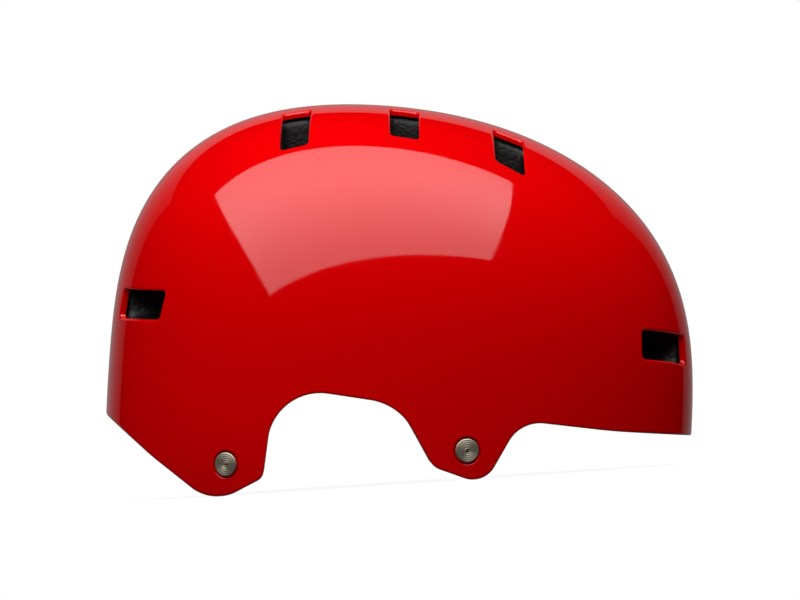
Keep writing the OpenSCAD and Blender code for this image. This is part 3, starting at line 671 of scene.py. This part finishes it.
# Zinc plating on pressed steel: a cool grey that is cloudy from place to place, with the
# faint pits of the sheet under it.
zinc_steel, tree = new_material("zinc_plated_pressed_steel")
where = add(tree, "TexCoord").outputs["Object"]
clouds = add(tree, "TexNoise", {"Vector": where, "Scale": 450.0, "Detail": 3.0})
pits = add(tree, "TexNoise", {"Vector": where, "Scale": 3000.0, "Detail": 2.0})
zinc = add(tree, "MixRGB", {"Fac": clouds.outputs["Fac"], **tones("#9FA3A8", "#C9CBCC")})
dull = add(tree, "MapRange", {"Value": clouds.outputs["Fac"], "To Min": 0.3, "To Max": 0.5})
skin = add(tree, "BsdfPrincipled", {
    "Base Color": zinc.outputs["Color"], "Metallic": 1.0, "Roughness": dull.outputs["Result"],
    "Normal": add(tree, "Bump", {"Height": pits.outputs["Fac"], "Strength": 0.2,
                                 "Distance": 0.00005}).outputs["Normal"]})
add(tree, "OutputMaterial", {"Surface": skin.outputs["BSDF"]})
for node in ("left_front_hanger", "left_rear_hanger", "right_front_hanger", "right_rear_hanger"):
    dress(softened(node, 0.0002, "plated_" + node, "helmet"), zinc_steel)
dress(softened("rivet_washers", 0.00015, "plated_washers", "helmet"), zinc_steel)

# Hook discs: nylon hook tape, punched to 15 mm and glued to the foam. Rows of small hooks
# make them look like a fine brush, with painted shade: darker between the hooks, lighter on their tops.
HOOK_PITCH = 0.0012
hook_tape, tree = new_material("black_nylon_hook_tape_woven")
where = add(tree, "TexCoord").outputs["Object"]
hooks = add(tree, "TexVoronoi", {"Vector": where, "Scale": 1 / HOOK_PITCH, "Randomness": 0.4})
tuft_height_and_shade = add(tree, "MapRange", {"Value": hooks.outputs["Distance"], "From Max": 0.6,
                              "To Min": 1.0, "To Max": 0.0})
# Painted shade: the colour follows the height of the hooks, darker down between them.
tint = add(tree, "MixRGB", {"Fac": tuft_height_and_shade.outputs["Result"], **tones("#111112", "#343436")})
skin = add(tree, "BsdfPrincipled", {
    "Base Color": tint.outputs["Color"], "Roughness": 0.7,
    "Normal": add(tree, "Bump", {"Height": tuft_height_and_shade.outputs["Result"], "Strength": 0.8,
                                 "Distance": 0.0004}).outputs["Normal"]})
add(tree, "OutputMaterial", {"Surface": skin.outputs["BSDF"]})
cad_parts["hook_discs"].material_slots[0].material = hook_tape

# Comfort pads: soft foam between two layers of brushed knitted nylon, bound round the edge.
# Each is a few millimetres thick, sewn through at its channels, and pressed onto its discs.
# Azimuth and elevation of the middle, half spans, all in degrees, then the sewn channels.
PADS = {"brow_pad": (0, 9, 36, 9.5, (-0.36, 0.36)), "nape_pad": (180, 20, 26, 8.5, (0,)),
        "crown_pad": (180, 83, 15, 22, ()), "left_temple_pad": (57, 22, 14, 10, (0,)),
        "right_temple_pad": (-57, 22, 14, 10, (0,))}
PAD_LIFT, PAD_T = 0.0023, 0.008
CORNER_SOFT, DRAW_IN = 0.28, 0.05
PAD_VOXEL, PAD_SLACK, PAD_SWELL, SEAM_HELD = 0.003, 0.0007, 0.0025, 0.0022
# The pads lie about this far inside the dome.
PAD_INSIDE = 0.03
SIM_FRAMES, PRESSURE = 20, 4


def pad_frame(azimuth, elevation):
    a, b = math.radians(azimuth), math.radians(elevation)
    c = np.array([math.cos(b) * math.cos(a), math.cos(b) * math.sin(a), math.sin(b)])
    e = unit(np.cross([0, 0, 1], c))
    return c, e, np.cross(c, e)


def pad_direction(node, s, t):
    """The direction of a place on a pad: s along its length and t across it, from -1 to 1."""
    azimuth, elevation, wide, high, _ = PADS[node]
    c, e, f = pad_frame(azimuth, elevation)
    x = s * math.sqrt(1 - CORNER_SOFT * t * t) * (1 - DRAW_IN * (1 - t * t))
    y = t * math.sqrt(1 - CORNER_SOFT * s * s) * (1 - DRAW_IN * (1 - s * s))
    return unit(c + e * math.tan(math.radians(wide)) * x + f * math.tan(math.radians(high)) * y)[None]


def on_pad(node, s, t, height):
    d = pad_direction(node, s, t)
    return dome(d, foam_face(d) - PAD_LIFT - height)[0]


cushions = {}
for node in PADS:
    bm = bmesh.new()
    bm.from_mesh(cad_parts[node].data)
    bmesh.ops.remove_doubles(bm, verts=bm.verts, dist=1e-5)
    cushion = to_object(bm, "knit_" + node)
    step = cushion.modifiers.new("even_mesh", "REMESH")
    step.mode, step.voxel_size = "VOXEL", PAD_VOXEL
    settle(cushion)
    at = np.array([v.co for v in cushion.data.vertices])
    facing = np.array([v.normal for v in cushion.data.vertices])
    out = outward(direction(at, -PAD_INSIDE))
    under = (facing * out).sum(1) > 0.5
    at[~under] -= facing[~under] * PAD_SLACK
    for v, p in zip(cushion.data.vertices, at):
        v.co = p
    lines = [[on_pad(node, q, t / 20, PAD_T / 2) for t in range(-20, 21)] for q in PADS[node][4]]
    held = under.copy()
    for line in lines:
        gap = at[:, None] - np.array(line)[None]
        gap -= (gap * out[:, None]).sum(2, keepdims=True) * out[:, None]
        held |= np.linalg.norm(gap, axis=2).min(1) < SEAM_HELD
    group = cushion.vertex_groups.new(name="held")
    group.add([int(k) for k in np.flatnonzero(held)], 1.0, "REPLACE")
    cushions[node] = (cushion, at, out, held)

for cushion, at, out, held in cushions.values():
    cloth = cushion.modifiers.new("filling", "CLOTH")
    cloth.settings.quality = 5
    cloth.settings.vertex_group_mass = "held"
    cloth.settings.use_pressure = True
    cloth.settings.uniform_pressure_force = PRESSURE
    cloth.settings.effector_weights.gravity = 0
    cloth.collision_settings.use_collision = False
for now in range(1, SIM_FRAMES + 1):
    bpy.context.scene.frame_set(now)
for cushion, at, out, held in cushions.values():
    settle(cushion)
    move = np.array([v.co for v in cushion.data.vertices]) - at
    move -= np.maximum((move * out).sum(1, keepdims=True), 0) * out
    size = np.linalg.norm(move, axis=1, keepdims=True)
    move *= np.minimum(1, PAD_SWELL / np.maximum(size, 1e-9))
    move[held] = 0
    for v, p in zip(cushion.data.vertices, at + move):
        v.co = p

# Brushed nylon knit: short loops about a millimetre across, soft at grazing angles, with
# slightly uneven black dye; the gaps between the loops are painted darker, as painted shade.
LOOP = 0.0011
knit, tree = new_material("black_nylon_knit_brushed")
where = add(tree, "TexCoord").outputs["Object"]
loops = add(tree, "TexVoronoi", {"Vector": where, "Scale": 1 / LOOP, "Randomness": 0.3},
            feature="DISTANCE_TO_EDGE")
nap = add(tree, "TexNoise", {"Vector": where, "Scale": 1800.0, "Detail": 3.0})
fade = add(tree, "TexNoise", {"Vector": where, "Scale": 60.0, "Detail": 2.0})
loop_height_and_shade = add(tree, "MapRange", {"Value": loops.outputs["Distance"], "From Max": 0.35})
height = add(tree, "Math", {0: loop_height_and_shade.outputs["Result"], 1: nap.outputs["Fac"]}, operation="ADD")
dyed = add(tree, "MixRGB", {"Fac": fade.outputs["Fac"], **tones("#18181A", "#2A2A2D")})
# Painted shade: the gaps between the loops are mixed towards a darker black.
dye_and_loop_shade = add(tree, "MixRGB", {"Fac": loop_height_and_shade.outputs["Result"], "Color1": colour("#0D0D0E"),
                              "Color2": dyed.outputs["Color"]})
skin = add(tree, "BsdfPrincipled", {
    "Base Color": dye_and_loop_shade.outputs["Color"], "Roughness": 0.9, "Sheen Weight": 0.35, "Sheen Roughness": 0.4,
    "Normal": add(tree, "Bump", {"Height": height.outputs[0], "Strength": 0.5,
                                 "Distance": 0.0003}).outputs["Normal"]})
add(tree, "OutputMaterial", {"Surface": skin.outputs["BSDF"]})
for node, (cushion, at, out, held) in cushions.items():
    for face in cushion.data.polygons:
        face.use_smooth = True
    step = cushion.modifiers.new("smooth", "SUBSURF")
    step.levels = step.render_levels = 1
    settle(cushion)
    dress(cushion, knit)
    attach(cushion, "helmet")
    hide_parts(node)

# The edge binding: a folded tape, sewn round each pad where its two cloths meet. It is laid
# against the side of the filled cushion.
BINDING_R, BINDING_LIFT, BINDING_STEPS = 0.0010, 0.0022, 30
BINDING_FROM, BINDING_TO = 1.06, 0.7
tapes = bpy.data.curves.new("edge_binding", "CURVE")
tapes.dimensions, tapes.bevel_depth, tapes.bevel_resolution = "3D", BINDING_R, 2
sweep = [2 * k / BINDING_STEPS - 1 for k in range(BINDING_STEPS)]
round_trip = ([(s, -1) for s in sweep] + [(1, s) for s in sweep]
              + [(-s, 1) for s in sweep] + [(-1, -s) for s in sweep])
surfaces = {}
for node, (cushion, at, out, held) in cushions.items():
    surfaces[node] = bvhtree.BVHTree.FromPolygons([v.co for v in cushion.data.vertices],
                                                  [f.vertices for f in cushion.data.polygons])
    ring = []
    for s, t in round_trip:
        outside, inside = (Vector(on_pad(node, s * k, t * k, BINDING_LIFT))
                           for k in (BINDING_FROM, BINDING_TO))
        hit = surfaces[node].ray_cast(outside, inside - outside)[0]
        ring.append(np.array(hit or on_pad(node, s, t, BINDING_LIFT)))
    for _ in range(3):
        ring = [(ring[k - 1] + 2 * ring[k] + ring[(k + 1) % len(ring)]) / 4 for k in range(len(ring))]
    tape = tapes.splines.new("POLY")
    tape.use_cyclic_u = True
    tape.points.add(len(ring) - 1)
    for point, place in zip(tape.points, ring):
        point.co = [*place, 1]
binding = in_scene("pad_binding", tapes)
made = bpy.data.meshes.new_from_object(binding)
bpy.data.objects.remove(binding)
binding = in_scene("pad_binding", made)
for face in made.polygons:
    face.use_smooth = True
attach(binding, "helmet")

# Woven polyester, for thread and binding: a slightly shinier black than the cloth, with
# the twist of its yarn half a millimetre apart, painted darker in its grooves as painted shade.
TWIST = 0.0005
polyester, tree = new_material("black_polyester_yarn_twisted")
where = add(tree, "TexCoord").outputs["Object"]
twist_height_and_shade = add(tree, "TexWave", {"Vector": where, "Scale": 1 / TWIST / 6.28, "Distortion": 1.0},
           bands_direction="DIAGONAL")
# Painted shade: the colour follows the twist's height, darker in its grooves.
tint = add(tree, "MixRGB", {"Fac": twist_height_and_shade.outputs["Fac"], **tones("#19191B", "#3A3A3E")})
skin = add(tree, "BsdfPrincipled", {
    "Base Color": tint.outputs["Color"], "Roughness": 0.55,
    "Normal": add(tree, "Bump", {"Height": twist_height_and_shade.outputs["Fac"], "Strength": 0.4,
                                 "Distance": 0.0001}).outputs["Normal"]})
add(tree, "OutputMaterial", {"Surface": skin.outputs["BSDF"]})
dress(binding, polyester)


def stitch(bm, at, along, normal, length=0.0022, r=0.0003):
    """One stitch of thread, half sunk in the cloth."""
    along = unit(along - normal * (along @ normal))
    turn = Matrix(np.array([along * length / 2, np.cross(normal, along) * r, normal * r]).T.tolist()).to_4x4()
    bmesh.ops.create_icosphere(bm, subdivisions=1, radius=1, matrix=Matrix.Translation(at) @ turn)


SEAM_STEP, SEAM_SPAN = 0.003, 0.86
thread = bmesh.new()
for node, (cushion, at, out, held) in cushions.items():
    for q in PADS[node][4]:
        ends = [on_pad(node, q, t, PAD_T) for t in (-SEAM_SPAN, SEAM_SPAN)]
        count = int(np.linalg.norm(ends[1] - ends[0]) / SEAM_STEP)
        for k in range(count + 1):
            t = SEAM_SPAN * (2 * k / count - 1)
            n = outward(pad_direction(node, q, t))[0]
            hit, facing, _, _ = surfaces[node].ray_cast(Vector(on_pad(node, q, t, 2 * PAD_T)), Vector(n))
            along = on_pad(node, q, t + 0.05, 0) - on_pad(node, q, t - 0.05, 0)
            if hit:
                stitch(thread, hit, along, np.array(facing))
pad_thread = to_object(thread, "pad_stitches")
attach(pad_thread, "helmet")
dress(pad_thread, polyester)

# Webbing: black nylon, woven 15 mm wide and 1.4 mm thick. Each leg goes round its hanger's
# bar and is sewn back onto itself; the chin straps go round the buckle's bars.
LOOP_R = BAR_D / 2 + BAR_CLEAR + STRAP_T / 2
LAYER = STRAP_T / 2 + 0.00005
LEG_STRAIGHT = 0.008
CHIN_L, CHIN_FROM, CHIN_RISE, TAIL_FROM = 0.060, 0.007, math.radians(6), 0.030
STRAP_ACROSS, SELVEDGE = 8, 0.0005


def leg_place(u, side):
    """Places on a leg: distance up from the bar, share across from -1 to 1, height to the head."""
    a, b, c, d = leg_corners(u)
    length = np.linalg.norm((c + d) / 2 - (a + b) / 2)

    def edge(start, end, s):
        rise = s + (end[1] - length) * max(s - LEG_STRAIGHT, 0) / (length - LEG_STRAIGHT)
        share = max(min(rise, 2 * (rise - LEG_STRAIGHT)), 0) / end[1]
        return np.array([start[0] + (end[0] - start[0]) * share, rise])

    def place(s, t, h):
        left, right = edge(a, d, s), edge(b, c, s)
        return on_harness(*((left + right) / 2 + (right - left) / 2 * t), h, side)
    return place, length


def chin_place(side):
    """Places on a chin strap: distance from the divider's centre, share across, height."""
    def place(s, t, h):
        t = t * STRAP_W / 2
        return on_harness(DIVIDER_AT[0] + s * math.cos(CHIN_RISE) - t * math.sin(CHIN_RISE),
                          DIVIDER_AT[1] + s * math.sin(CHIN_RISE) + t * math.cos(CHIN_RISE), h, side)
    return place


def round_bar(at, first, last):
    """Points round a bar, from one angle to another."""
    return [(at + LOOP_R * math.cos(math.radians(a)), LOOP_R * math.sin(math.radians(a)))
            for a in np.linspace(first, last, 14)]


def webbing(name, node, line, place, body):
    """A strip of webbing along a line of distance and height."""
    line = smoothed(line, 3)
    run = np.concatenate([[0], np.cumsum(np.linalg.norm(np.diff(line, axis=0), axis=1))])
    bm = bmesh.new()
    weave = bm.loops.layers.uv.new("weave")
    bmesh.ops.create_grid(bm, x_segments=len(line) - 1, y_segments=STRAP_ACROSS, size=0.5)
    for face in bm.faces:
        face.smooth = True
        for loop in face.loops:
            k = round((loop.vert.co.x + 0.5) * (len(line) - 1))
            loop[weave].uv = (loop.vert.co.y * STRAP_W, run[k])
    for v in bm.verts:
        k = round((v.co.x + 0.5) * (len(line) - 1))
        v.co = place(line[k][0], 2 * v.co.y, line[k][1])
    strip = to_object(bm, name)
    step = strip.modifiers.new("thickness", "SOLIDIFY")
    step.thickness, step.offset, step.use_even_offset = STRAP_T, 0, True
    step = strip.modifiers.new("selvedge", "BEVEL")
    step.width, step.segments, step.limit_method, step.angle_limit = SELVEDGE, 2, "ANGLE", math.radians(60)
    settle(strip)
    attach(strip, body)
    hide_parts(node)
    dress(strip, webbing_nylon)


# Woven nylon: ribs along the webbing and picks across it, about a millimetre apart, each
# one rounded and offset from its neighbour, painted darker in the hollows between them as painted shade.
RIB, PICK = 0.001, 0.0013
webbing_nylon, tree = new_material("black_nylon_webbing_woven")
strip = add(tree, "SeparateXYZ", {"Vector": add(tree, "UVMap", uv_map="weave").outputs["UV"]})
ribs = add(tree, "Math", {0: strip.outputs["X"], 1: 1 / RIB}, operation="MULTIPLY")
odd = add(tree, "Math", {0: add(tree, "Math", {0: ribs.outputs[0]}, operation="FLOOR").outputs[0], 1: 0.5},
          operation="MULTIPLY")
picks = add(tree, "Math", {0: strip.outputs["Y"], 1: 1 / PICK, 2: odd.outputs[0]}, operation="MULTIPLY_ADD")
mounds = []
for value in (ribs.outputs[0], picks.outputs[0]):
    half_turn = add(tree, "Math", {0: value, 1: math.pi}, operation="MULTIPLY")
    wave = add(tree, "Math", {0: half_turn.outputs[0]}, operation="SINE")
    mounds.append(add(tree, "Math", {0: wave.outputs[0]}, operation="ABSOLUTE").outputs[0])
weave_height_and_shade = add(tree, "Math", {0: mounds[0], 1: mounds[1]}, operation="MULTIPLY")
# Painted shade: the colour follows the weave's height, darker in the hollows.
tint = add(tree, "MixRGB", {"Fac": weave_height_and_shade.outputs[0], **tones("#0C0C0D", "#2B2B2E")})
skin = add(tree, "BsdfPrincipled", {
    "Base Color": tint.outputs["Color"], "Roughness": 0.65, "Sheen Weight": 0.2,
    "Normal": add(tree, "Bump", {"Height": weave_height_and_shade.outputs[0], "Strength": 0.8,
                                 "Distance": 0.00025}).outputs["Normal"]})
add(tree, "OutputMaterial", {"Surface": skin.outputs["BSDF"]})

# Distances from a bar, or from a divider's centre on a chin strap: where the end sewn back
# stops, where the doubled part closes to one layer, and the rows of each bar tack.
LEG_END, LEG_JOIN, NEAR_BAR = 0.019, 0.027, 0.006
LEG_TACKS = (0.0075, 0.009, 0.015, 0.0165)
CHIN_JOIN, CHIN_END = 0.034, 0.041
CHIN_TACKS = (0.0435, 0.045, 0.051, 0.0525)
TACK_SPAN, TACK_ACROSS, TACK_L, TACK_R = 0.78, 9, 0.0017, 0.00028
for side, name in ((1, "left"), (-1, "right")):
    thread = bmesh.new()
    rows = []
    for u, end in ((0, "rear"), (bar_span, "front")):
        place, length = leg_place(u, side)
        line = ([(length, 0), (LEG_JOIN, 0), (LEG_JOIN - 0.004, 0), (LEG_END, LAYER), (NEAR_BAR, LAYER)]
                + round_bar(0, 60, 300) + [(NEAR_BAR, -LAYER), (LEG_END, -LAYER)])
        webbing(f"woven_{name}_{end}_leg", f"{name}_{end}_strap", line, place, name + "_harness")
        rows += [(place, s) for s in LEG_TACKS]
    place = chin_place(side)
    near_bar = CHIN_L - NEAR_BAR
    if side == 1:
        line = ([(CHIN_FROM, 0), (CHIN_JOIN, 0), (CHIN_JOIN + 0.004, 0), (CHIN_END, LAYER), (near_bar, LAYER)]
                + round_bar(CHIN_L, 120, -120) + [(near_bar, -LAYER), (CHIN_END, -LAYER)])
        rows += [(place, s) for s in CHIN_TACKS]
    else:
        line = ([(CHIN_FROM, 0), (0.050, 0), (near_bar, 0)] + round_bar(CHIN_L, -115, 90)
                + [(CHIN_L - 0.004, LOOP_R), (TAIL_FROM, LOOP_R)])
    webbing(f"woven_{name}_chin_strap", f"{name}_chin_strap", line, place, name + "_harness")
    for place, s in rows:
        for t in np.linspace(-TACK_SPAN, TACK_SPAN, TACK_ACROSS):
            along = place(s + 0.001, t, 0) - place(s, t, 0)
            for face in (1, -1):
                normal = unit(place(s, t, 0.001) - place(s, t, 0)) * face
                stitch(thread, place(s, t, face * (LAYER + STRAP_T / 2)), along, normal, TACK_L, TACK_R)
    tacks = to_object(thread, name + "_bar_tacks")
    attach(tacks, name + "_harness")
    dress(tacks, polyester)

# Dividers: nylon 66, injection moulded. A plate takes the three pieces of webbing, and a
# cam lever, turning on a plated steel pin between two ears, clamps them.
# Moulded nylon: a black satin face, spark-eroded to a fine grain, its tone a little uneven from place to
# place.
GRAIN = 0.0004
nylon_66, tree = new_material("black_nylon_66_moulded")
where = add(tree, "TexCoord").outputs["Object"]
grain = add(tree, "TexNoise", {"Vector": where, "Scale": 1 / GRAIN, "Detail": 2.0})
flow = add(tree, "TexNoise", {"Vector": where, "Scale": 120.0, "Detail": 2.0})
satin = add(tree, "MapRange", {"Value": flow.outputs["Fac"], "To Min": 0.42, "To Max": 0.6})
tint = add(tree, "MixRGB", {"Fac": flow.outputs["Fac"], **tones("#151516", "#202022")})
skin = add(tree, "BsdfPrincipled", {
    "Base Color": tint.outputs["Color"], "Roughness": satin.outputs["Result"], "IOR": 1.53,
    "Normal": add(tree, "Bump", {"Height": grain.outputs["Fac"], "Strength": 0.25,
                                 "Distance": 0.0001}).outputs["Normal"]})
add(tree, "OutputMaterial", {"Surface": skin.outputs["BSDF"]})
for name in ("left", "right"):
    plate = softened(name + "_divider", 0.0004, f"moulded_{name}_divider", name + "_harness")
    lever = softened(name + "_divider_lever", 0.0003, f"moulded_{name}_lever", name + "_lever")
    pin = softened(name + "_divider_pin", 0.0002, f"plated_{name}_pin", name + "_harness")
    dress(plate, nylon_66)
    dress(lever, nylon_66)
    dress(pin, zinc_steel)

# Buckle: a side-release buckle in the same nylon. Two springy prongs on the plug latch
# behind the windows of the socket.
for node, width, body in (("buckle_socket", 0.0005, "socket"), ("buckle_plug", 0.0004, "plug"),
                          ("upper_prong", 0.0003, "upper_prong"), ("lower_prong", 0.0003, "lower_prong")):
    dress(softened(node, width, "moulded_" + node, body), nylon_66)

# Strap keeper: a small moulded nylon loop that slides on the strap and holds its tail.
dress(softened("strap_keeper", 0.0004, "moulded_keeper", "keeper"), nylon_66)

# Studio: a pale floor, one wide softbox overhead and in front, brightest along its middle,
# and a white backdrop that only the camera and mirror-like rays see.
view = bpy.context.scene.view_settings
view.view_transform = "Standard"
world = bpy.context.scene.world or bpy.data.worlds.new("studio")
bpy.context.scene.world = world
world.use_nodes = True
tree = world.node_tree
tree.nodes.clear()
path = add(tree, "LightPath")
toward_sky = add(tree, "SeparateXYZ", {"Vector": add(tree, "TexCoord").outputs["Generated"]})
BACKDROP_TOP, BACKDROP_SIDE = 0.48, 0.63
sideways = add(tree, "Math", {0: toward_sky.outputs["X"]}, operation="ABSOLUTE")
fade = add(tree, "MapRange", {"Value": sideways.outputs[0], "From Min": 0.25, "From Max": BACKDROP_SIDE,
                              "To Min": 0.24, "To Max": 0.06})
backdrop = fade.outputs["Result"]
for value, bound, test in ((sideways.outputs[0], BACKDROP_SIDE, "LESS_THAN"),
                           (toward_sky.outputs["Z"], BACKDROP_TOP, "LESS_THAN"),
                           (toward_sky.outputs["Y"], 0.0, "GREATER_THAN")):
    inside = add(tree, "Math", {0: value, 1: bound}, operation=test)
    backdrop = add(tree, "Math", {0: backdrop, 1: inside.outputs[0]}, operation="MULTIPLY").outputs[0]
mirrored = add(tree, "Math", {0: backdrop, 1: path.outputs["Is Glossy Ray"]}, operation="MULTIPLY")
behind = add(tree, "MapRange", {"Value": toward_sky.outputs["Y"], "To Min": 0.02, "To Max": 0.6})
fill = add(tree, "Math", {0: path.outputs["Is Diffuse Ray"], 1: behind.outputs["Result"]},
           operation="MULTIPLY")
level = add(tree, "Math", {0: mirrored.outputs[0], 1: fill.outputs[0]}, operation="MAXIMUM")
level = add(tree, "Math", {0: level.outputs[0], 1: path.outputs["Is Camera Ray"]}, operation="MAXIMUM")
sky = add(tree, "Background", {"Color": (1, 1, 1, 1), "Strength": level.outputs[0]})
add(tree, "OutputWorld", {"Surface": sky.outputs[0]})

SOFTBOX_AT, SOFTBOX_SIZE, SOFTBOX_LEVEL = (0.046, -0.576, 1.1), (2.098, 1.57), 2.95
SOFTBOX_MIDDLE, SOFTBOX_FADE = 0.6, (1.15, 0.7)
SOFTBOX_YAW, SOFTBOX_TILT, SOFTBOX_ROLL = math.radians(3.7), math.radians(20.2), math.radians(-9.9)
lamp = bpy.data.lights.new("softbox", "AREA")
lamp.shape = "RECTANGLE"
lamp.size, lamp.size_y = SOFTBOX_SIZE
lamp.energy = SOFTBOX_LEVEL * math.pi * SOFTBOX_SIZE[0] * SOFTBOX_SIZE[1]
lamp.use_nodes = True
tree = lamp.node_tree
tree.nodes.clear()
on_box = add(tree, "SeparateXYZ", {"Vector": add(tree, "NewGeometry").outputs["Parametric"]})
off_middle = add(tree, "Math", {0: on_box.outputs["Y"], 1: SOFTBOX_MIDDLE}, operation="SUBTRACT")
off_middle = add(tree, "Math", {0: off_middle.outputs[0]}, operation="ABSOLUTE")
evenness = add(tree, "MapRange", {"Value": off_middle.outputs[0], "From Max": SOFTBOX_MIDDLE,
                                  "To Min": SOFTBOX_FADE[0], "To Max": SOFTBOX_FADE[1]},
               interpolation_type="SMOOTHSTEP")
glow = add(tree, "Emission", {"Color": (1, 1, 1, 1), "Strength": evenness.outputs["Result"]})
add(tree, "OutputLight", {"Surface": glow.outputs[0]})
softbox = in_scene("softbox", lamp)
softbox.matrix_world = (Matrix.Translation(SOFTBOX_AT) @ Matrix.Rotation(SOFTBOX_YAW, 4, "Z")
                        @ Matrix.Rotation(SOFTBOX_TILT, 4, "X") @ Matrix.Rotation(SOFTBOX_ROLL, 4, "Y"))

FLOOR_R = 0.6
floor_mesh = bmesh.new()
bmesh.ops.create_circle(floor_mesh, cap_ends=True, segments=96, radius=FLOOR_R)
floor = to_object(floor_mesh, "floor")
floor.visible_glossy = False
paper, tree = new_material("paper_floor")
path = add(tree, "LightPath")
matt = add(tree, "BsdfDiffuse", {"Color": colour("#585858")})
lift = add(tree, "Emission", {"Color": (1, 1, 1, 1), "Strength": 0.93})
both = add(tree, "AddShader", {0: matt.outputs[0], 1: lift.outputs[0]})
from_below = add(tree, "MixShader", {0: add(tree, "NewGeometry").outputs["Backfacing"], 1: both.outputs[0],
                                     2: add(tree, "BsdfTransparent").outputs[0]})
seen = add(tree, "MixShader", {0: path.outputs["Is Camera Ray"], 1: matt.outputs[0],
                               2: from_below.outputs[0]})
add(tree, "OutputMaterial", {"Surface": seen.outputs[0]})
dress(floor, paper)
